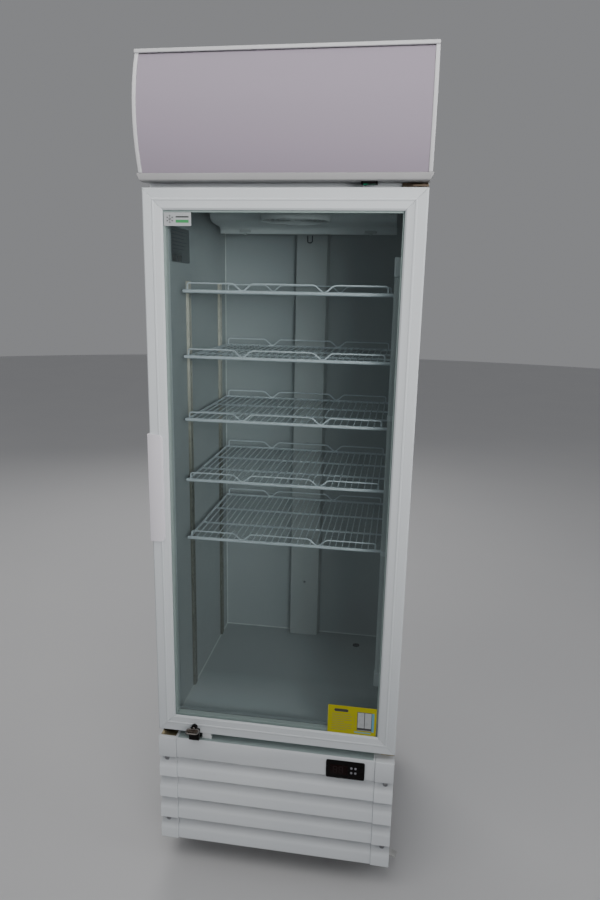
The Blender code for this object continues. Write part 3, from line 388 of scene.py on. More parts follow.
# Looks by maker: the material's name, its two colours, then any roughness range and grain depth.
ENAMELS = {
    "cabinet": ("cabinet_enamel", (0.66, 0.695, 0.715), (0.63, 0.665, 0.69)),
    "black_steel": ("black_steel", (0.022, 0.022, 0.026), (0.035, 0.034, 0.036)),
    "trim": ("canopy_trim", (0.65, 0.655, 0.67), (0.625, 0.63, 0.645)),
}
PLASTICS = {
    "door": ("door_profile", (0.635, 0.67, 0.69), (0.615, 0.65, 0.672)),
    "handle": ("handle_plastic", (0.76, 0.735, 0.79), (0.74, 0.72, 0.77)),
    "rail": ("rail_plastic", (0.330, 0.330, 0.335), (0.310, 0.310, 0.315)),
    "duct": ("duct_plastic", (0.50, 0.52, 0.52), (0.47, 0.485, 0.485)),
    "button": ("button_plastic", (0.30, 0.30, 0.33), (0.26, 0.26, 0.29)),
    "matte_black": ("black_grained", (0.020, 0.020, 0.022), (0.030, 0.029, 0.030), (0.45, 0.65)),
    "spacer": ("spacer_bar", (0.50, 0.57, 0.55), (0.46, 0.53, 0.51)),
    "wire": ("wire_coating", (0.74, 0.78, 0.82), (0.68, 0.72, 0.77), (0.25, 0.40)),
    "cap": ("cap_plastic", (0.74, 0.77, 0.78), (0.70, 0.73, 0.74)),
    "yellow": ("label_yellow", (0.41, 0.385, 0.008), (0.38, 0.355, 0.007), (0.3, 0.4), 0.00004),
    "label": ("label_white", (0.41, 0.43, 0.44), (0.385, 0.405, 0.41), (0.25, 0.35), 0.00004),
    "ink": ("label_ink", (0.03, 0.03, 0.03), (0.05, 0.05, 0.05), (0.3, 0.4), 0.00002),
    "print": ("label_print", (0.20, 0.19, 0.06), (0.26, 0.24, 0.07), (0.3, 0.4), 0.00002),
    "blue": ("label_blue", (0.10, 0.30, 0.42), (0.14, 0.36, 0.46), (0.3, 0.4), 0.00002),
    "green_ink": ("label_green", (0.05, 0.28, 0.10), (0.07, 0.32, 0.12), (0.3, 0.4), 0.00002),
    # ledge: grey-teal kept dark as painted shade of the gap under the door
    "ledge": ("ledge_strip", (0.33, 0.40, 0.395), (0.29, 0.35, 0.345), (0.4, 0.6)),
    "boss": ("boss_plastic", (0.30, 0.31, 0.33), (0.25, 0.26, 0.28)),
    "segment": ("unlit_segment", (0.020, 0.006, 0.006), (0.016, 0.005, 0.005), (0.1, 0.2), 0.00002),
    "cover": ("cover_plastic", (0.70, 0.72, 0.72), (0.66, 0.68, 0.68)),
    "hub": ("hub_plastic", (0.20, 0.20, 0.21), (0.16, 0.16, 0.17)),
    "faint": ("label_faint", (0.16, 0.17, 0.18), (0.20, 0.21, 0.22), (0.3, 0.4), 0.00002),
}
ZINCS = {
    "zinc": ("zinc_plate", (0.70, 0.69, 0.66), (0.58, 0.58, 0.57)),
    "yellow_zinc": ("yellow_zinc", (0.62, 0.46, 0.36), (0.50, 0.40, 0.26)),
    "olive": ("olive_zinc", (0.42, 0.35, 0.21), (0.30, 0.26, 0.16)),
    "screw": ("screw_zinc", (0.42, 0.42, 0.43), (0.34, 0.34, 0.35)),
    "pedal": ("pedal_zinc", (0.72, 0.72, 0.70), (0.60, 0.60, 0.58)),
}
BRUSHED = {
    "aluminium": ("aluminium", (0.78, 0.79, 0.80), (0.68, 0.69, 0.71)),
    "chrome": ("chrome", (0.88, 0.88, 0.89), (0.80, 0.80, 0.82), (0.06, 0.16)),
    "brass": ("brass", (0.17, 0.125, 0.10), (0.12, 0.09, 0.075), (0.20, 0.38)),
    "gunmetal": ("gunmetal", (0.34, 0.31, 0.29), (0.24, 0.22, 0.21), (0.12, 0.24)),
    "foil": ("label_foil", (0.44, 0.46, 0.47), (0.36, 0.38, 0.39), (0.35, 0.5)),
}
RUBBERS = {
    "gasket": ("gasket", (0.58, 0.63, 0.62), (0.53, 0.58, 0.57)),
    "tyre": ("tyre", (0.030, 0.030, 0.032), (0.085, 0.082, 0.078)),
    "foam": ("foam", (0.72, 0.62, 0.36), (0.62, 0.52, 0.28)),
    "sealant": ("sealant", (0.72, 0.74, 0.72), (0.64, 0.66, 0.64)),
}
LAMPS = {
    "lamp": ("lamp_cover", (0.62, 0.66, 0.66)),
    "green": ("switch_green", (0.01, 0.30, 0.15)),
}
DULL_PLASTICS = {                # the specular level comes first
    "black": (0.12, "black_gloss", (0.004, 0.0035, 0.0035), (0.006, 0.005, 0.005), (0.20, 0.32), 0.0001),
    "display": (0.15, "display_filter", (0.010, 0.003, 0.003), (0.007, 0.002, 0.002), (0.08, 0.14), 0.00002),
}
MATERIALS = {}


def make_materials():
    makers = ((powder_coat, ENAMELS), (moulded_plastic, PLASTICS), (dull_plastic, DULL_PLASTICS),
              (zinc_plate, ZINCS), (brushed_metal, BRUSHED), (soft_rubber, RUBBERS), (frosted_lamp, LAMPS))
    for maker, looks in makers:
        for key, look in looks.items():
            MATERIALS[key] = maker(*look)
    MATERIALS.update(
        kick=slatted_plastic(),
        liner=liner_plastic(),
        sign=sign_acrylic(),
        glass=pane_glass(),
        edge=glass_edge(),
        pilaster=pilaster_steel())


# ----------------------------------------------------------------- geometry
def carved(shape, *cutters):
    """The bmesh with other closed bmeshes taken out of it."""
    target = solid("carve_target", shape, None, None)
    tools = [solid("carve_tool", cutter, None, None) for cutter in cutters]
    for tool in tools:
        step = target.modifiers.new("cut", "BOOLEAN")
        step.operation, step.solver, step.object = "DIFFERENCE", "EXACT", tool
    graph = bpy.context.evaluated_depsgraph_get()
    mesh = bpy.data.meshes.new_from_object(target.evaluated_get(graph))
    result = bmesh.new()
    result.from_mesh(mesh)
    for scrap in [target] + tools:
        bpy.data.objects.remove(scrap)
    bpy.data.meshes.remove(mesh)
    return result


def solid(name, shape, material, smooth=40):
    """Object from a bmesh, smooth but for edges sharper than the angle."""
    mesh = bpy.data.meshes.new(name)
    shape.to_mesh(mesh)
    shape.free()
    mesh.materials.append(material)
    made = bpy.data.objects.new(name, mesh)
    bpy.context.scene.collection.objects.link(made)
    if smooth:
        mesh.shade_smooth()
        mesh.set_sharp_from_angle(angle=math.radians(smooth))
    return made


def fit(made, body, slot, *nodes):
    """Ride on a body and stand for CAD nodes; the material slot is not used."""
    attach(made, body)
    if nodes:
        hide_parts(*nodes)
    return made


def piece(name, shape, key, body, slot, *nodes, smooth=40):
    """A finished piece from one shape or a list of shapes."""
    whole = merged(shape) if isinstance(shape, list) else shape
    return fit(solid(name, whole, MATERIALS[key], smooth), body, slot, *nodes)


def cleaned(node):
    """A CAD node's shape with its split corners and flat faces merged again."""
    shape = bmesh.new()
    shape.from_mesh(NODES[node].data)
    bmesh.ops.remove_doubles(shape, verts=shape.verts, dist=0.00001)
    bmesh.ops.dissolve_limit(shape, angle_limit=math.radians(0.5), verts=shape.verts, edges=shape.edges)
    return shape


def bevelled(name, shape, node, width, material, segments):
    """The shape with rounded edges, standing for a CAD node on that node's body."""
    made = solid(name, shape, material, smooth=None)
    made.data.shade_smooth()
    edge = made.modifiers.new("edge", "BEVEL")
    edge.width = width
    edge.segments = segments
    edge.limit_method = "ANGLE"
    edge.angle_limit = math.radians(30.0)
    edge.harden_normals = True
    edge.use_clamp_overlap = True
    return fit(made, NODES[node]["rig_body"], SLOTS[node], node)


def refined(node, width, material, segments=3):
    return bevelled("fine_" + node, cleaned(node), node, width, material, segments)


def block(corner, opposite, radius=0.0, segments=2):
    """Box between two opposite corners, with rounded edges, as a bmesh."""
    a = Vector([min(pair) for pair in zip(corner, opposite)])
    b = Vector([max(pair) for pair in zip(corner, opposite)])
    shape = bmesh.new()
    fill = Matrix.Translation((a + b) / 2) @ Matrix.Diagonal((*(b - a), 1.0))
    bmesh.ops.create_cube(shape, size=1.0, matrix=fill)
    if radius > 0:
        bmesh.ops.bevel(shape, geom=list(shape.edges), offset=radius, segments=segments, profile=0.5,
                        affect="EDGES")
    return shape


def merged(shapes):
    """Several solids as one bmesh."""
    whole = bmesh.new()
    for shape in shapes:
        scratch = bpy.data.meshes.new("scratch")
        shape.to_mesh(scratch)
        shape.free()
        whole.from_mesh(scratch)
        bpy.data.meshes.remove(scratch)
    return whole


def moved(shape, matrix):
    bmesh.ops.transform(shape, matrix=matrix, verts=shape.verts)
    return shape


def filleted(points, radius, steps=5):
    """Polyline with its inner corners rounded by arcs."""
    points = [Vector(p) for p in points]
    line = [points[0]]
    for before, here, after in zip(points, points[1:], points[2:]):
        into, out = (before - here), (after - here)
        reach = min(radius, into.length * 0.45, out.length * 0.45)
        start, end = here + into.normalized() * reach, here + out.normalized() * reach
        for step in range(steps + 1):
            t = step / steps
            line.append((1 - t) ** 2 * start + 2 * t * (1 - t) * here + t ** 2 * end)
    line.append(points[-1])
    return line


def full_turn(steps):
    """Equal angles round a circle."""
    return [2 * math.pi * step / steps for step in range(steps)]


def skin(shape, loops):
    """Faces from each ring of vertices to the next; a vertex that repeats is taken once."""
    for lower, upper in zip(loops, loops[1:]):
        for step in range(len(lower)):
            after = (step + 1) % len(lower)
            corners = (lower[step], lower[after], upper[after], upper[step])
            shape.faces.new(list(dict.fromkeys(corners)))


def tube(points, radius, sides=10):
    """Closed round tube along a polyline."""
    points = [Vector(p) for p in points]
    shape = bmesh.new()
    rings = []
    first = (points[1] - points[0]).normalized()
    guide = Vector((0, 0, 1)) if abs(first.z) < 0.9 else Vector((1, 0, 0))
    across = first.cross(guide).normalized()
    for index, point in enumerate(points):
        into = (point - points[index - 1]).normalized() if index else first
        last = index == len(points) - 1
        out = into if last else (points[index + 1] - point).normalized()
        along = (into + out).normalized()
        across = (across - along * across.dot(along)).normalized()
        other = along.cross(across)
        ring = []
        for a in full_turn(sides):
            offset = across * math.cos(a) * radius + other * math.sin(a) * radius
            ring.append(shape.verts.new(point + offset))
        rings.append(ring)
    skin(shape, rings)
    shape.faces.new(rings[0][::-1])
    shape.faces.new(rings[-1])
    bmesh.ops.recalc_face_normals(shape, faces=shape.faces)
    return shape


def turned(profile, steps, matrix=Matrix()):
    """Solid of revolution about +Z from (radius, height) pairs; ends on the axis or closed loop."""
    shape = bmesh.new()
    rows = []
    for radius, height in profile:
        if radius == 0.0:
            rows.append([shape.verts.new((0.0, 0.0, height))] * steps)
            continue
        circle = [(radius * math.cos(a), radius * math.sin(a), height) for a in full_turn(steps)]
        rows.append([shape.verts.new(point) for point in circle])
    closed = profile[0][0] > 0.0
    skin(shape, rows + rows[:1] if closed else rows)
    bmesh.ops.recalc_face_normals(shape, faces=shape.faces)
    return moved(shape, matrix)


def plate(outline, y_front, y_back, edge=0.0):
    """Outline (x, z) as a plate between two depths, with its front rim rounded."""
    shape = bmesh.new()
    face = shape.faces.new([shape.verts.new((x, y_front, z)) for x, z in outline])
    grown = bmesh.ops.extrude_face_region(shape, geom=[face])
    far = [item for item in grown["geom"] if isinstance(item, bmesh.types.BMVert)]
    bmesh.ops.translate(shape, vec=(0.0, y_back - y_front, 0.0), verts=far)
    bmesh.ops.recalc_face_normals(shape, faces=shape.faces)
    if edge:
        rim = [e for e in shape.edges if all(abs(v.co.y - y_front) < 1e-7 for v in e.verts)]
        bmesh.ops.bevel(shape, geom=rim, offset=edge, segments=2, profile=0.5, affect="EDGES")
    return shape


def rounded_outline(low_corner, high_corner, radius, steps=5):
    corners = [((high_corner[0] - radius, high_corner[1] - radius), 0),
               ((low_corner[0] + radius, high_corner[1] - radius), 90),
               ((low_corner[0] + radius, low_corner[1] + radius), 180),
               ((high_corner[0] - radius, low_corner[1] + radius), 270)]
    outline = []
    for (a, b), start in corners:
        for step in range(steps + 1):
            angle = math.radians(start + 90 * step / steps)
            outline.append((a + radius * math.cos(angle), b + radius * math.sin(angle)))
    return outline


def screw(radius, matrix):
    """Pan-head screw along +Z of the matrix, with a thin cross on its head."""
    head = turned([(0.0, -radius), (radius * 0.5, -radius), (radius * 0.5, 0.0), (radius, 0.0),
                   (radius * 0.96, radius * 0.28), (radius * 0.70, radius * 0.48), (0.0, radius * 0.56)], 18)
    long, narrow, foot, crown = radius * 0.55, radius * 0.10, radius * 0.50, radius * 0.60
    cross = [block((-long, -narrow, foot), (long, narrow, crown)),
             block((-narrow, -long, foot), (narrow, long, crown))]
    return moved(merged([head] + cross), matrix)


FACING_FRONT = Matrix.Rotation(math.pi / 2, 4, "X")      # +Z of a part turned to -Y
FACING_BACK = Matrix.Rotation(-math.pi / 2, 4, "X")


def at(x, y, z, turn=Matrix()):
    return Matrix.Translation((x, y, z)) @ turn


# -------------------------------------------------------------- plain nodes
def coat(node, key):
    """A CAD node whose shape is right keeps its mesh and takes a finished material."""
    mesh = NODES[node].data
    mesh.materials.clear()
    mesh.materials.append(MATERIALS[key])


def coat_plain_nodes():
    kept = {"foam_insulation": "foam", "base_frame": "black_steel", "compressor": "black_steel",
            "condenser_coil": "aluminium", "condenser_fan_housing": "black_steel",
            "evaporator_coil": "aluminium", "condenser_fan": "matte_black",
            "evaporator_fan": "matte_black", "glass_outer": "glass", "glass_inner": "glass",
            "glass_spacer": "spacer", "canopy_lamp": "lamp"}
    for node, key in kept.items():
        coat(node, key)


def refine_rigid_nodes():
    """Pressed and moulded parts keep their shape and get rounded edges."""
    table = (("outer_casing", 0.0008, "cabinet", 2), ("rear_grille", 0.0008, "cabinet", 2),
             ("canopy_housing", 0.0005, "cabinet", 2), ("canopy_frame", 0.0014, "trim", 3),
             ("controller_body", 0.0008, "black", 3),
             ("door_handle", 0.0012, "handle", 4), ("lock_body", 0.0010, "black", 3),
             ("top_hinge", 0.0006, "yellow_zinc", 2), ("bottom_hinge", 0.0006, "olive", 2),
             ("inner_liner", 0.0006, "liner", 2), ("air_duct", 0.0008, "duct", 2),
             ("rocker_switch", 0.0005, "green", 2))
    for node, width, key, segments in table:
        refined(node, width, MATERIALS[key], segments)
    for rail in ("door_stile_left", "door_stile_right", "door_rail_top", "door_rail_bottom"):
        refined(rail, 0.0007, MATERIALS["door"], 3)
    for number in range(1, 5):
        refined(f"controller_button_{number}", 0.0006, MATERIALS["button"], 3)


# ------------------------------------------------------------------- canopy
def make_sign():
    """Curved opal sheet, subdivided along its arc so that it shades as one sweep."""
    front, rear = [], []
    bottom, top = low("sign_panel").z, high("sign_panel").z
    half, thick = high("sign_panel").x, 0.0025
    bulge, steps = FRONT_Y - low("sign_panel").y, 32
    reach = (top - bottom) / 2
    radius = (reach ** 2 + bulge ** 2) / (2 * bulge)
    middle, centre_y = (top + bottom) / 2, FRONT_Y - bulge + radius
    for step in range(steps + 1):
        z = bottom + (top - bottom) * step / steps
        front.append((centre_y - math.sqrt(radius ** 2 - (z - middle) ** 2), z))
        rear.append((centre_y - math.sqrt((radius - thick) ** 2 - (z - middle) ** 2), z))
    outline = front + rear[::-1]
    shape = bmesh.new()
    rows = []
    for x in (-half, half):
        rows.append([shape.verts.new((x, y, z)) for y, z in outline])
    skin(shape, rows)
    count = len(outline)
    for row in rows:
        for step in range(steps):
            shape.faces.new((row[step], row[step + 1], row[count - 2 - step], row[count - 1 - step]))
    bmesh.ops.recalc_face_normals(shape, faces=shape.faces)
    piece("sign_sheet", shape, "sign", "cabinet", "sign_sheet", "sign_panel", smooth=30)


def make_canopy_rail():
    """Rail with ends drawn in towards an underside that steps up at the rear."""
    a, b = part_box("canopy_bottom_rail")
    base = 1.7085
    side = [(a.y, base + 0.0065), (a.y, b.z - 0.0022), (a.y + 0.0006, b.z - 0.0006),
            (a.y + 0.0022, b.z), (b.y, b.z), (b.y, base + 0.0062),
            (a.y + 0.0300, base + 0.0062), (a.y + 0.0240, base + 0.0035),
            (a.y + 0.0120, base + 0.0030), (a.y + 0.0020, base + 0.0048)]
    shape = extruded(side, a.x, b.x)
    for vertex in shape.verts:
        share = min(max((b.z - vertex.co.z) / (b.z - base), 0.0), 1.0)
        vertex.co.x -= math.copysign(0.0100 * share ** 1.3, vertex.co.x)
    bevelled("fine_canopy_bottom_rail", shape, "canopy_bottom_rail", 0.0010, MATERIALS["rail"], 2)
    switch = (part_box("rocker_switch")[0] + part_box("rocker_switch")[1]) / 2
    walls = []
    for side_x in (-1, 1):
        walls.append(block((switch.x + side_x * 0.0148 - 0.0017, switch.y - 0.0110, base - 0.0012),
                           (switch.x + side_x * 0.0148 + 0.0017, switch.y + 0.0110, base + 0.0060), 0.0005))
        walls.append(block((switch.x - 0.0165, switch.y + side_x * 0.0095 - 0.0015, base - 0.0012),
                           (switch.x + 0.0165, switch.y + side_x * 0.0095 + 0.0015, base + 0.0060), 0.0005))
    piece("switch_housing", walls, "black", "cabinet", "black_plastic")


def make_canopy_screws():
    """Two screws on each side trim and three along the top cover's front."""
    screws = []
    half = high("canopy_frame").x
    for z in (1.775, 1.905):
        for side in (-1, 1):
            outward = Matrix.Rotation(side * math.pi / 2, 4, "Y")
            screws.append(screw(0.0035, at(side * half, -0.200, z, outward)))
    for x in (-0.25, 0.0, 0.25):
        screws.append(screw(0.0035, at(x, -0.168, high("canopy_frame").z - 0.0012)))
    piece("canopy_screws", screws, "zinc", "cabinet", "zinc_steel")


# --------------------------------------------------------------------- door
def make_gasket():
    """Magnetic gasket: a ring whose section has two soft folds."""
    a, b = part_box("door_gasket")
    half, z0, z1, width = b.x, a.z, b.z, 0.024
    deep = b.y - a.y
    section = [(0.0, 0.0), (0.0, 0.30), (0.12, 0.42), (0.04, 0.56), (0.04, 0.92), (0.10, 1.0),
               (0.88, 1.0), (0.94, 0.92), (0.94, 0.60), (0.86, 0.45), (1.0, 0.30), (1.0, 0.0)]
    shape = bmesh.new()
    rows = []
    for inset, depth in section:
        reach, y = inset * width, a.y + depth * deep
        corners = ((-half + reach, z0 + reach), (half - reach, z0 + reach),
                   (half - reach, z1 - reach), (-half + reach, z1 - reach))
        rows.append([shape.verts.new((x, y, z)) for x, z in corners])
    skin(shape, rows + rows[:1])
    bmesh.ops.recalc_face_normals(shape, faces=shape.faces)
    piece("folded_gasket", shape, "gasket", "door", "rubber", "door_gasket")


def make_glass_rims():
    """Green cut edges of both panes, just inside the frame's rebate."""
    for node in ("glass_outer", "glass_inner"):
        a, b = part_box(node)
        bars = []
        inset, wide = 0.0001, 0.0016
        x0, x1, z0, z1 = a.x + inset, b.x - inset, a.z + inset, b.z - inset
        spans = (((x0, z0), (x0 + wide, z1)), ((x1 - wide, z0), (x1, z1)),
                 ((x0 + wide, z0), (x1 - wide, z0 + wide)), ((x0 + wide, z1 - wide), (x1 - wide, z1)))
        for (xa, za), (xb, zb) in spans:
            bars.append(block((xa, a.y + 0.0002, za), (xb, b.y - 0.0002, zb)))
        piece(node + "_rim", bars, "edge", "door", "glass", smooth=None)


def make_painted_glazing_shadow():
    """Painted shadow: dark strips along the foot and head of the inner pane, where it enters the frame."""
    a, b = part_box("glass_inner")
    opening_low, opening_high = high("door_rail_bottom").z, low("door_rail_top").z
    half = low("door_stile_right").x - 0.0004
    near, far = a.y + 0.0003, b.y - 0.0003
    # matte black strips stand in for the shade where the pane meets the rails
    foot = block((-half, near, opening_low), (half, far, opening_low + 0.0018))
    head = block((-half, near, opening_high - 0.0010), (half, far, opening_high))
    piece("painted_glazing_shadow", [foot, head], "matte_black", "door", "rubber", smooth=None)


def sticker(name, low_corner, high_corner, y, key, radius=0.0015, thick=0.00025):
    shape = plate(rounded_outline(low_corner, high_corner, radius), y - thick, y)
    return piece(name, shape, key, "door", "white_plastic")


def printed(name, shapes, key, body="door"):
    return piece(name, shapes, key, body, "black_plastic", smooth=None)


def make_white_sticker(face_y):
    """Plain white sticker with a snowflake and two rules."""
    low_corner, high_corner = (-0.2535, 1.6240), (-0.1930, 1.6515)
    sticker("door_sticker", low_corner, high_corner, face_y, "label")
    y = face_y - 0.00025
    centre = Vector((-0.2400, 0.0, 1.6378))
    arms = []
    for arm in range(6):
        turn = at(centre.x, y - 0.0001, centre.z, Matrix.Rotation(arm * math.pi / 3, 4, "Y"))
        arms.append(moved(block((-0.0004, -0.0001, 0.0), (0.0004, 0.0001, 0.0088)), turn))
        for side in (-1, 1):
            branch = at(0.0, 0.0, 0.0052, Matrix.Rotation(side * math.pi / 4, 4, "Y"))
            arms.append(moved(block((-0.0003, -0.0001, 0.0), (0.0003, 0.0001, 0.0032)), turn @ branch))
    printed("sticker_snowflake", arms, "ink")
    printed("sticker_rule_dark", [block((-0.2270, y - 0.0002, 1.6410), (-0.1985, y, 1.6438))], "ink")
    printed("sticker_rule_green", [block((-0.2270, y - 0.0002, 1.6305), (-0.1985, y, 1.6365))], "green_ink")


def make_yellow_sticker(face_y):
    """Plain yellow care label: a dark header, ruled lines and a cabinet pictogram."""
    x0, x1, z0, z1 = 0.1325, 0.2510, 0.4365, 0.5165
    sticker("care_label", (x0, z0), (x1, z1), face_y, "yellow", 0.001)
    y = face_y - 0.00025
    header = rounded_outline((x0 + 0.0155, z1 - 0.0165), (x0 + 0.0500, z1 - 0.0090), 0.0036)
    printed("care_header", [plate(header, y - 0.0002, y)], "ink")
    rules = []
    lengths = (0.046, 0.050, 0.044, 0.049, 0.030, 0.050, 0.047, 0.050, 0.036)
    for row, length in enumerate(lengths):
        z = z1 - 0.0235 - 0.0054 * row
        rules.append(block((x0 + 0.0100, y - 0.0001, z), (x0 + 0.0100 + length, y, z + 0.0014)))
    rules.append(block((x0 + 0.0650, y - 0.0001, z0 + 0.012), (x0 + 0.0656, y, z1 - 0.022)))
    printed("care_rules", rules, "print")

    left, right, base, top = x0 + 0.0720, x1 - 0.0110, z0 + 0.0160, z1 - 0.0130
    middle = (left + right) / 2
    printed("care_cabinet", [block((left, y - 0.0001, base), (right, y, top))], "ink")
    doors = []
    for a, b in ((left + 0.0012, middle - 0.0008), (middle + 0.0008, right - 0.0012)):
        doors.append(block((a, y - 0.0002, base + 0.0078), (b, y - 0.0001, top - 0.0012)))
    doors.append(block((left + 0.0012, y - 0.0002, base + 0.0012),
                       (right - 0.0012, y - 0.0001, base + 0.0022)))
    printed("care_cabinet_doors", doors, "label")
    side = block((right, y - 0.0001, base - 0.001), (right + 0.0055, y, top - 0.001))
    foot = block((left - 0.006, y - 0.0001, base - 0.0065), (right - 0.002, y, base - 0.0035))
    printed("care_cabinet_side", [side, foot], "blue")


def make_lock_parts():
    """Key with a wide bow: dark bronze plate in a bright rim, on a ribbed lock neck."""
    a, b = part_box("lock_key")
    centre = (a + b) / 2
    face = low("lock_body").y
    shaft = turned([(0.0, -0.0060), (0.0040, -0.0060), (0.0043, -0.0045), (0.0043, 0.0005), (0.0030, 0.0022),
                    (0.0, 0.0022)], 28, at(centre.x, face, centre.z, FACING_FRONT))
    rim = bow_ring(centre, a.y, face - 0.0010, 0.0170, 0.0080, 0.0036, 0.0014)
    piece("key_rim", [rim, shaft], "gunmetal", "key", "zinc_steel", "lock_key")
    bow = plate(rounded_outline((-0.0140, -0.0080), (0.0140, 0.0080), 0.0060, 6), -0.0009, 0.0009, 0.0005)
    lay = at(centre.x, (a.y + face - 0.0010) / 2, centre.z, Matrix.Rotation(math.pi / 2, 4, "X"))
    piece("key_bow", moved(bow, lay), "brass", "key", "zinc_steel")
    collar = turned([(0.0052, 0.0), (0.0074, 0.0), (0.0074, 0.0006), (0.0066, 0.0010), (0.0052, 0.0010)], 32,
                    at(centre.x, face + 0.0004, centre.z, FACING_FRONT))
    piece("lock_collar", collar, "black", "door", "zinc_steel")


def bow_ring(centre, y0, y1, half, radius, wide, thick):
    """Flat ring round a key's bow, lying level."""
    outer = rounded_outline((centre.x - half, y0), (centre.x + half, y1), radius, 6)
    inner = rounded_outline((centre.x - half + wide, y0 + wide), (centre.x + half - wide, y1 - wide),
                            radius - wide + 0.001, 6)
    shape = bmesh.new()
    loops = []
    for outline, z in ((outer, -thick), (outer, thick), (inner, thick), (inner, -thick)):
        loops.append([shape.verts.new((x, y, centre.z + z)) for x, y in outline])
    skin(shape, loops + loops[:1])
    bmesh.ops.recalc_face_normals(shape, faces=shape.faces)
    bmesh.ops.bevel(shape, geom=[e for e in shape.edges if abs(e.verts[0].co.z - e.verts[1].co.z) < 1e-6],
                    offset=0.0004, segments=1, affect="EDGES", clamp_overlap=True)
    return shape


def make_strike_plate():
    """Bright striker beside the lock, and a bracket and slot over the left cap."""
    shelf = high("kick_panel").z + 0.0012
    upright = block((-0.1870, -0.2800, shelf), (-0.1640, -0.2788, 0.3943), 0.0004)
    foot = block((-0.1870, -0.2800, shelf), (-0.1640, -0.2640, shelf + 0.0012), 0.0004)
    piece("strike_plate", [upright, foot], "cap", "cabinet", "zinc_steel")
    seat = high("kick_cap_left").z + 0.0002
    bracket = block((-0.2960, -0.2830, seat), (-0.2560, -0.2620, seat + 0.0016), 0.0005)
    head = screw(0.0032, at(-0.2860, -0.2720, seat + 0.0016))
    piece("closer_bracket", [bracket, head], "olive", "cabinet", "zinc_steel")
    slot = block((-0.2970, -0.2620, seat), (-0.2560, -0.2460, seat + 0.0090), 0.0010)
    piece("closer_slot", slot, "matte_black", "cabinet", "black_plastic")


def make_hinge_bolts():
    """Two bolts on each hinge's tab."""
    heads = []
    for node, z in (("top_hinge", 1.7165), ("bottom_hinge", 0.3838)):
        seat = high(node).y - 0.0032
        for x in (0.256, 0.288):
            heads.append(screw(0.0034, at(x, seat, z, FACING_FRONT)))
    piece("hinge_bolts", heads, "chrome", "cabinet", "zinc_steel")


# ----------------------------------------------------------- kick and front
SLAT_DEPTH = 0.0145
SLAT_CURVE = ((1.0, 0.05), (0.97, 0.09), (0.88, 0.15), (0.70, 0.22), (0.45, 0.30), (0.22, 0.38),
              (0.08, 0.45), (0.01, 0.52), (0.0, 0.60), (0.0, 0.90), (0.0006, 0.97))


def kick_outline(face, rear):
    """Side view (y, z): a flat head, then slats that sweep out of a hollow to a flat face."""
    top = high("kick_panel").z
    outline = [(rear, top), (face + 0.003, top), (face + 0.0009, top - 0.0009), (face, top - 0.003)]
    for upper, lower in zip(SLAT_EDGES, SLAT_EDGES[1:]):
        tall = upper - lower
        outline += [(face, upper + 0.0016), (face + 0.0005, upper + 0.0004), (face + 0.0016, upper)]
        outline += [(face + depth * SLAT_DEPTH, upper - share * tall) for depth, share in SLAT_CURVE]
    bottom = SLAT_EDGES[-1]
    return outline + [(face + 0.0010, bottom), (rear, bottom)]


def extruded(outline, x0, x1):
    """Side view (y, z) drawn out along X."""
    shape = bmesh.new()
    ends = [[shape.verts.new((x, y, z)) for y, z in outline] for x in (x0, x1)]
    skin(shape, ends)
    for end in ends:
        shape.faces.new(end)
    bmesh.ops.recalc_face_normals(shape, faces=shape.faces)
    return shape


def make_kick_panel():
    """Slatted panel between two proud end caps, with air slots hidden under the slats."""
    a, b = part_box("kick_panel")
    opening = block((0.1360, a.y - 0.01, 0.3215), (0.2257, b.y + 0.05, 0.3638))
    middle = carved(extruded(kick_outline(a.y, b.y), a.x, b.x), opening)
    bevelled("fine_kick_panel", middle, "kick_panel", 0.0006, MATERIALS["kick"], 2)
    for node in ("kick_cap_left", "kick_cap_right"):
        low_corner, high_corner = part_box(node)
        cap = extruded(kick_outline(low_corner.y, high_corner.y), low_corner.x, high_corner.x)
        bevelled("fine_" + node, cap, node, 0.0022, MATERIALS["kick"], 3)
    slots = []
    for edge in SLAT_EDGES[:-1]:
        for x in (-0.155, 0.0, 0.155):
            slots.append(block((x - 0.062, a.y + 0.0080, edge - 0.0060),
                               (x + 0.062, a.y + 0.0150, edge - 0.0022)))
    piece("air_slots", slots, "matte_black", "cabinet", "white_plastic")
    # painted shade: a darker grey-teal strip laid over the kick panel's top, in the gap under the door
    ledge = block((a.x + 0.004, a.y + 0.0014, b.z + 0.0001),
                  (b.x - 0.004, b.y + 0.0020, b.z + 0.0011), 0.0004)
    piece("ledge_strip", ledge, "ledge", "cabinet", "white_plastic")


def make_kick_screws():
    """Sunk screws at the top of each cap's first and last slats."""
    bosses, heads = [], []
    face = low("kick_cap_left").y
    for x in (-0.281, 0.281):
        for z in (0.3105, 0.1270):
            ring = [(0.0040, 0.0), (0.0062, 0.0), (0.0062, 0.0065), (0.0056, 0.0071), (0.0040, 0.0071)]
            bosses.append(turned(ring, 28, at(x, face + 0.0130, z, FACING_FRONT)))
            heads.append(screw(0.0036, at(x, face + 0.0080, z, FACING_FRONT)))
    piece("kick_screw_bosses", bosses, "boss", "cabinet", "white_plastic")
    piece("kick_screws", heads, "screw", "cabinet", "zinc_steel")


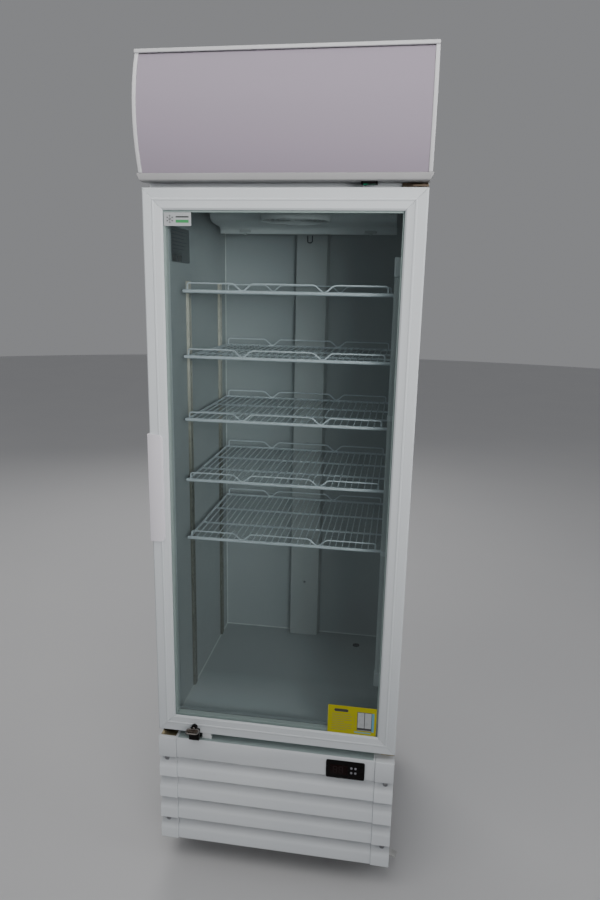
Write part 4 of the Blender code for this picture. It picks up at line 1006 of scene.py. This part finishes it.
def make_controller_face():
    """Dark display filter set in the bezel, with two unlit seven-segment digits."""
    a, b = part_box("controller_body")
    face = a.y
    window = plate(rounded_outline((a.x + 0.0095, a.z + 0.0105), (a.x + 0.0545, b.z - 0.0105), 0.002),
                   face - 0.0004, face + 0.0002, 0.0002)
    piece("display_window", window, "display", "cabinet", "black_plastic")
    digits = []
    for place in (0.0165, 0.0310):
        x, z = a.x + place, (a.z + b.z) / 2
        level = [(0, dz, 0.008, 0.0012) for dz in (0.0085, 0, -0.0085)]
        upright = [(dx, dz, 0.0012, 0.0074) for dz in (0.0043, -0.0043) for dx in (-0.0044, 0.0044)]
        for dx, dz, wide, tall in level + upright:
            centre_x = x + 0.0060 + dx
            digits.append(block((centre_x - wide / 2, face - 0.00055, z + dz - tall / 2),
                                (centre_x + wide / 2, face - 0.0004, z + dz + tall / 2)))
    piece("display_segments", digits, "segment", "cabinet", "black_plastic", smooth=None)


# ------------------------------------------------------------- refrigerator
def make_led():
    """LED tube with its white end caps, clipped to the right wall behind the stile."""
    a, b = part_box("led_tube")
    x, y, radius = 0.2475, -0.221, 0.0082
    body = turned([(0.0, a.z + 0.030), (radius, a.z + 0.030), (radius, b.z - 0.035), (0.0, b.z - 0.035)], 24,
                  at(x, y, 0.0))
    piece("led_cover", body, "lamp", "cabinet", "lamp", "led_tube")
    caps = []
    for z0, z1 in ((a.z, a.z + 0.038), (b.z - 0.042, b.z)):
        caps.append(block((x - 0.0095, y - 0.0110, z0), (x + 0.0096, y + 0.0110, z1), 0.0032, 4))
    for z in (a.z + 0.35, b.z - 0.35):
        caps.append(turned([(radius, z - 0.006), (radius + 0.0012, z - 0.006), (radius + 0.0012, z + 0.006),
                            (radius, z + 0.006)], 24, at(x, y, 0.0)))
    piece("led_end_caps", caps, "cap", "cabinet", "white_plastic")


PILASTERS = ("pilaster_front_left", "pilaster_front_right", "pilaster_rear_left", "pilaster_rear_right")
PILASTER_DEEP = 0.0060           # from the wall to the pierced face
LADDER_PITCH, SLOT_TALL, SLOT_HALF = 0.0127, 0.0085, 0.0030


def pilaster_wall(node):
    """Box, inward direction, wall plane and middle depth of a pilaster."""
    a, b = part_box(node)
    side = 1.0 if a.x < 0 else -1.0
    return a, b, side, (a.x if side > 0 else b.x), (a.y + b.y) / 2


def make_pilasters():
    """Shelf supports: a pressed channel whose face is pierced by a ladder of slots."""
    for node in PILASTERS:
        a, b, side, wall, y_mid = pilaster_wall(node)
        face = wall + side * PILASTER_DEEP
        inside = face - side * 0.0011
        strips = ((SLOT_HALF, 0.0085, inside, face),                      # face beside the slots
                  (0.0085, 0.0096, wall, face),                           # web
                  (0.0096, 0.0125, wall, wall + side * 0.0012))           # flange
        bars = []
        for edge in (-1, 1):
            for near, far, x0, x1 in strips:
                bars.append(block((x0, y_mid + edge * near, a.z), (x1, y_mid + edge * far, b.z)))
        for step in range(int((b.z - a.z) / LADDER_PITCH) + 1):
            z0 = a.z + step * LADDER_PITCH
            z1 = min(z0 + LADDER_PITCH - SLOT_TALL, b.z)
            bars.append(block((inside, y_mid - SLOT_HALF, z0), (face, y_mid + SLOT_HALF, z1)))
        piece("slotted_" + node, bars, "pilaster", "cabinet", "zinc_steel", node, smooth=30)
        back = block((wall + side * 0.0002, y_mid - 0.0084, a.z + 0.001),
                     (wall + side * 0.0008, y_mid + 0.0084, b.z - 0.001))
        piece("shadow_" + node, back, "matte_black", "cabinet", "zinc_steel", smooth=None)


def shelf_wires():
    """One coated wire shelf at height zero, all of round wire."""
    a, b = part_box("shelf_1")
    half, front, rear = b.x, a.y + 0.0040, b.y - 0.0030
    wires = []
    wires.append(tube([(-half, front, 0), (half, front, 0)], 0.0040, 14))
    wires.append(tube([(-half + 0.002, rear, 0), (half - 0.002, rear, 0)], 0.0030, 12))
    for y in (front + 0.125, front + 0.250):
        wires.append(tube([(-half + 0.003, y, -0.0033), (half - 0.003, y, -0.0033)], 0.0025, 10))
    for side in (-1, 1):
        x = side * (half - 0.0040)
        wires.append(tube([(x, front, -0.0003), (x, rear, -0.0003)], 0.0030, 12))
    count, pitch = 29, 0.0160
    for wire in range(count):
        x = (wire - (count - 1) / 2) * pitch
        wires.append(tube([(x, front - 0.0010, 0.0008), (x, rear + 0.0010, 0.0008)], 0.0014, 8))
    for y in (front, rear):
        wires.append(fence(y))
    return merged(wires)


def fence(y):
    """Retaining wire over a bar: two V dips and rounded ends."""
    top, foot = 0.0185, 0.0020
    line = [(-0.235, foot), (-0.235, top)]
    for dip in (-0.105, 0.084):
        line += [(dip - 0.0215, top), (dip - 0.0035, foot + 0.0008)]
        line += [(dip + 0.0035, foot + 0.0008), (dip + 0.0215, top)]
    line += [(0.226, top), (0.226, foot)]
    return tube(filleted([(x, y, z) for x, z in line], 0.0065, 4), 0.0018, 10)


def make_shelves():
    """Five shelves that share one mesh, each on its own body."""
    pattern = bpy.data.meshes.new("shelf_wires")
    shape = shelf_wires()
    shape.to_mesh(pattern)
    shape.free()
    pattern.materials.append(MATERIALS["wire"])
    pattern.shade_smooth()
    pattern.set_sharp_from_angle(angle=math.radians(50))
    for number in range(1, 6):
        shelf = bpy.data.objects.new(f"wire_shelf_{number}", pattern)
        shelf.location = (0.0, 0.0, shelf_height(number))
        bpy.context.scene.collection.objects.link(shelf)
        fit(shelf, f"shelf_{number}_tray", "wire_coating", f"shelf_{number}")


def shelf_height(number):
    """The bars' height: the fence stands 18.5 mm and a wire's radius above it."""
    return high(f"shelf_{number}").z - 0.0185 - 0.0019


def make_shelf_clips():
    """Bent steel clips hooked in the pilasters, one under each corner of each shelf."""
    seat = (0.0, 0.0140, -0.0050, -0.0036)
    back = (0.0, 0.0014, -0.0170, -0.0050)
    tip = (0.0126, 0.0140, -0.0050, 0.0010)
    clips = []
    for number in range(1, 6):
        z = shelf_height(number)
        for node in PILASTERS:
            _, _, side, wall, y = pilaster_wall(node)
            face = wall + side * (PILASTER_DEEP + 0.0002)
            for near, far, foot, head in (seat, back, tip):
                clips.append(block((face + side * near, y - 0.0080, z + foot),
                                   (face + side * far, y + 0.0080, z + head), 0.0004))
    piece("shelf_clips", clips, "zinc", "cabinet", "zinc_steel")


def make_room_details():
    """Sealant lines, drain plug, duct screws and the probe's clip."""
    x, z, back = ROOM_HALF - 0.0003, ROOM_FLOOR + 0.0003, ROOM_BACK_Y - 0.0003
    front = low("inner_liner").y + 0.004
    lines = [tube([(side * x, front, z), (side * x, back, z)], 0.0021, 8) for side in (-1, 1)]
    lines.append(tube([(-x, back, z), (x, back, z)], 0.0021, 8))
    for side in (-1, 1):
        lines.append(tube([(side * x, back, z), (side * x, back, high("inner_liner").z - 0.004)], 0.0016, 8))
    piece("room_sealant", lines, "sealant", "cabinet", "liner_plastic")

    plug = turned([(0.0, 0.0), (0.0105, 0.0), (0.0105, 0.0010), (0.0085, 0.0018), (0.0060, 0.0018),
                   (0.0052, 0.0008), (0.0, 0.0008)], 28, at(0.172, 0.175, ROOM_FLOOR + 0.0001))
    piece("drain_plug", plug, "matte_black", "cabinet", "black_plastic")

    face = low("air_duct").y
    heads = [screw(0.0042, at(0.0, face - 0.0002, height, FACING_FRONT)) for height in (1.050, 0.604)]
    piece("duct_screws", heads, "screw", "cabinet", "zinc_steel")
    hook = ((-0.0125, 1.6435), (-0.0125, 1.6245), (0.0005, 1.6245), (0.0005, 1.6435))
    loop = filleted([(x, face - 0.003, z) for x, z in hook], 0.006, 5)
    piece("probe_clip", tube(loop, 0.0013, 10), "matte_black", "cabinet", "black_plastic")


COVER_SWEEP = ((-0.0060, 1.6835), (0.0020, 1.6790), (0.0060, 1.6720), (0.0130, 1.6655), (0.0255, 1.6615),
               (0.0630, 1.6578), (0.0900, 1.6570), (0.1010, 1.6540), (0.1065, 1.6480), (0.1080, 1.6398))
FAN_PLACE = (0.0, -0.088)


def make_evaporator_cover():
    """Cover with a flat front carrying the fan's ring and a rear tray that sweeps down to a lip."""
    a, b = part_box("evaporator_cover")
    wall = 0.0025
    under = list(COVER_SWEEP) + [(0.1120, 1.6398)]
    inside = [(y, z + wall) for y, z in COVER_SWEEP[::-1]]
    tray = extruded(under + [(0.1120, 1.6420)] + inside, a.x, b.x)
    parts = [tray, pierced_plate((a.x, a.y), (b.x, COVER_SWEEP[0][0]), COVER_SWEEP[0][1], wall, 0.078)]
    rim = [(a.y, COVER_SWEEP[0][1])] + under + [(0.1120, 1.7300), (a.y, 1.7300)]
    for x in (a.x, b.x - wall):
        parts.append(extruded(rim, x, x + wall))
    front = block((a.x, a.y - 0.0005, COVER_SWEEP[0][1]), (b.x, a.y + wall, 1.7300), 0.0005)
    bell = turned([(0.0780, 1.6860), (0.0775, 1.6560), (0.0785, 1.6528), (0.0805, 1.6520), (0.0820, 1.6540),
                   (0.0825, 1.6600), (0.0850, 1.6800), (0.0890, 1.6836), (0.0890, 1.6860)], 64,
                  at(*FAN_PLACE, 0.0))
    piece("fine_evaporator_cover", parts + [front, bell], "cover", "cabinet", SLOTS["evaporator_cover"],
          "evaporator_cover", smooth=35)


def pierced_plate(low_corner, high_corner, z, thick, radius, steps=64):
    """Level rectangular plate with a round hole at the fan."""
    cx, cy = FAN_PLACE
    shape = bmesh.new()
    loops = []
    corners = [(x, y) for x in (low_corner[0], high_corner[0]) for y in (low_corner[1], high_corner[1])]
    angles = sorted(full_turn(steps) + [math.atan2(y - cy, x - cx) % (2 * math.pi) for x, y in corners])
    edge, hole = [], []
    for angle in angles:
        dx, dy = math.cos(angle), math.sin(angle)
        reach = []
        for delta, first, last, centre in ((dx, low_corner[0], high_corner[0], cx),
                                           (dy, low_corner[1], high_corner[1], cy)):
            if abs(delta) > 1e-9:
                reach.append(((last if delta > 0 else first) - centre) / delta)
        edge.append((cx + dx * min(reach), cy + dy * min(reach)))
        hole.append((cx + dx * radius, cy + dy * radius))
    for outline, height in ((edge, z), (edge, z + thick), (hole, z + thick), (hole, z)):
        loops.append([shape.verts.new((x, y, height)) for x, y in outline])
    skin(shape, loops + loops[:1])
    bmesh.ops.recalc_face_normals(shape, faces=shape.faces)
    return shape


def make_evaporator_details():
    """Latches at the cover's rear lip, and the wire guard inside the fan's ring."""
    latches = []
    for x in (-0.167, 0.167):
        latches.append(block((x - 0.016, 0.1050, 1.6425), (x + 0.016, 0.1135, 1.6650), 0.002))
        latches.append(block((x - 0.004, 0.1060, 1.6370), (x + 0.004, 0.1160, 1.6600), 0.0015))
    piece("cover_latches", latches, "duct", "cabinet", "liner_plastic")
    place = at(*FAN_PLACE, 1.6555)
    wires = [ring_tube(radius, 0.0011, place) for radius in (0.014, 0.026, 0.038, 0.050, 0.062, 0.073)]
    for arm in range(4):
        angle = math.radians(45 + 90 * arm)
        outward, lift = Vector((math.cos(angle), math.sin(angle), 0)), Vector((0, 0, 0.0018))
        spoke = [outward * reach + lift for reach in (0.014, 0.0785)]
        wires.append(moved(tube(spoke, 0.0014, 8), place))
    piece("fan_guard_rings", wires, "cover", "cabinet", "liner_plastic")


def ring_tube(radius, wire, place, steps=48, sides=8):
    """Torus of wire about the place's Z axis."""
    profile = [(radius + wire * math.cos(a), wire * math.sin(a)) for a in full_turn(sides)]
    return turned(profile, steps, place)


def make_rating_plate():
    """Grey foil plate on the left wall: faint blank fields over two dark squares."""
    wall = -ROOM_HALF
    shape = block((wall, -0.2280, 1.5530), (wall + 0.0006, -0.0980, 1.6300), 0.0002)
    piece("rating_plate", shape, "foil", "cabinet", "aluminium")
    rules = []
    for row in range(6):
        z = 1.6205 - 0.0078 * row
        end = -0.1150 - 0.012 * (row % 3)
        rules.append(block((wall + 0.0005, -0.2200, z), (wall + 0.0008, end, z + 0.0016)))
    printed("rating_rules", rules, "faint", "cabinet")
    squares = []
    for y in (-0.2240, -0.1880):
        squares.append(block((wall + 0.0005, y, 1.5550), (wall + 0.0008, y + 0.0300, 1.5690)))
    printed("rating_squares", squares, "ink", "cabinet")


# ------------------------------------------------------------ back and base
def make_back_details():
    """Screws round the rear grille and down both edges of the casing's rear."""
    a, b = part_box("rear_grille")
    y = a.y + 0.0022
    heads = []
    for x in (a.x + 0.010, -0.095, 0.095, b.x - 0.010):
        for z in (a.z + 0.010, b.z - 0.010):
            heads.append(screw(0.0042, at(x, y, z, FACING_BACK)))
    for z in (0.50, 0.80, 1.10, 1.40, 1.70):
        for x in (-0.290, 0.290):
            heads.append(screw(0.0034, at(x, high("outer_casing").y, z, FACING_BACK)))
    piece("back_screws", heads, "zinc", "cabinet", "zinc_steel")


def wheel_parts(node):
    """Rounded tyre on a moulded hub with a bearing cap, in place of a plain wheel."""
    points = [vertex.co for vertex in NODES[node].data.vertices]
    a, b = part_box(node)
    centre = Vector(((a.x + b.x) / 2, (a.y + b.y) / 2, (a.z + b.z) / 2))
    across = flat_direction(points, centre)
    turn = Vector((0, 0, 1)).rotation_difference(across).to_matrix().to_4x4()
    place = Matrix.Translation(centre) @ turn
    radius, half = (b.z - a.z) / 2, 0.0100
    tyre = [(0.0200, -half + 0.0012), (radius - 0.0040, -half + 0.0004), (radius - 0.0016, -half + 0.0020),
            (radius - 0.0002, -half + 0.0055), (radius, 0.0), (radius - 0.0002, half - 0.0055),
            (radius - 0.0016, half - 0.0020), (radius - 0.0040, half - 0.0004), (0.0200, half - 0.0012)]
    hub = [(0.0048, -half), (0.0085, -half), (0.0095, -half + 0.0030), (0.0170, -half + 0.0035),
           (0.0200, -half + 0.0012), (0.0200, half - 0.0012), (0.0170, half - 0.0035),
           (0.0095, half - 0.0030), (0.0085, half), (0.0048, half)]
    return turned(tyre, 48, place), turned(hub, 48, place)


def flat_direction(points, centre):
    """Unit axis of a wheel: level, and the direction in which its points spread least."""
    best, found = None, None
    for step in range(180):
        angle = math.radians(step)
        axis = Vector((math.cos(angle), math.sin(angle), 0.0))
        spread = max(abs((point - centre).dot(axis)) for point in points)
        if best is None or spread < best:
            best, found = spread, axis
    return found


def make_castors():
    """Wheels as tyre and hub, with their forks and the front brake pedals."""
    for name in ("front_left", "front_right", "rear_left", "rear_right"):
        tyre, hub = wheel_parts(f"castor_wheel_{name}")
        body = f"wheel_{name}"
        piece(f"tyre_{name}", tyre, "tyre", body, "castor_rubber", f"castor_wheel_{name}", smooth=35)
        piece(f"hub_{name}", hub, "hub", body, "grey_plastic", smooth=35)
        refined(f"castor_fork_{name}", 0.0005, MATERIALS["zinc"], 2)
    for name in ("front_left", "front_right"):
        refined(f"castor_brake_{name}", 0.0006, MATERIALS["pedal"], 2)


def build():
    make_camera()
    make_materials()
    make_studio()
    coat_plain_nodes()
    refine_rigid_nodes()
    make_sign()
    make_canopy_rail()
    make_canopy_screws()
    make_gasket()
    make_glass_rims()
    make_painted_glazing_shadow()
    face_y = low("glass_outer").y
    make_white_sticker(face_y)
    make_yellow_sticker(face_y)
    make_lock_parts()
    make_strike_plate()
    make_hinge_bolts()
    make_kick_panel()
    make_kick_screws()
    make_controller_face()
    make_led()
    make_pilasters()
    make_shelves()
    make_shelf_clips()
    make_room_details()
    make_evaporator_cover()
    make_evaporator_details()
    make_rating_plate()
    make_back_details()
    make_castors()


build()
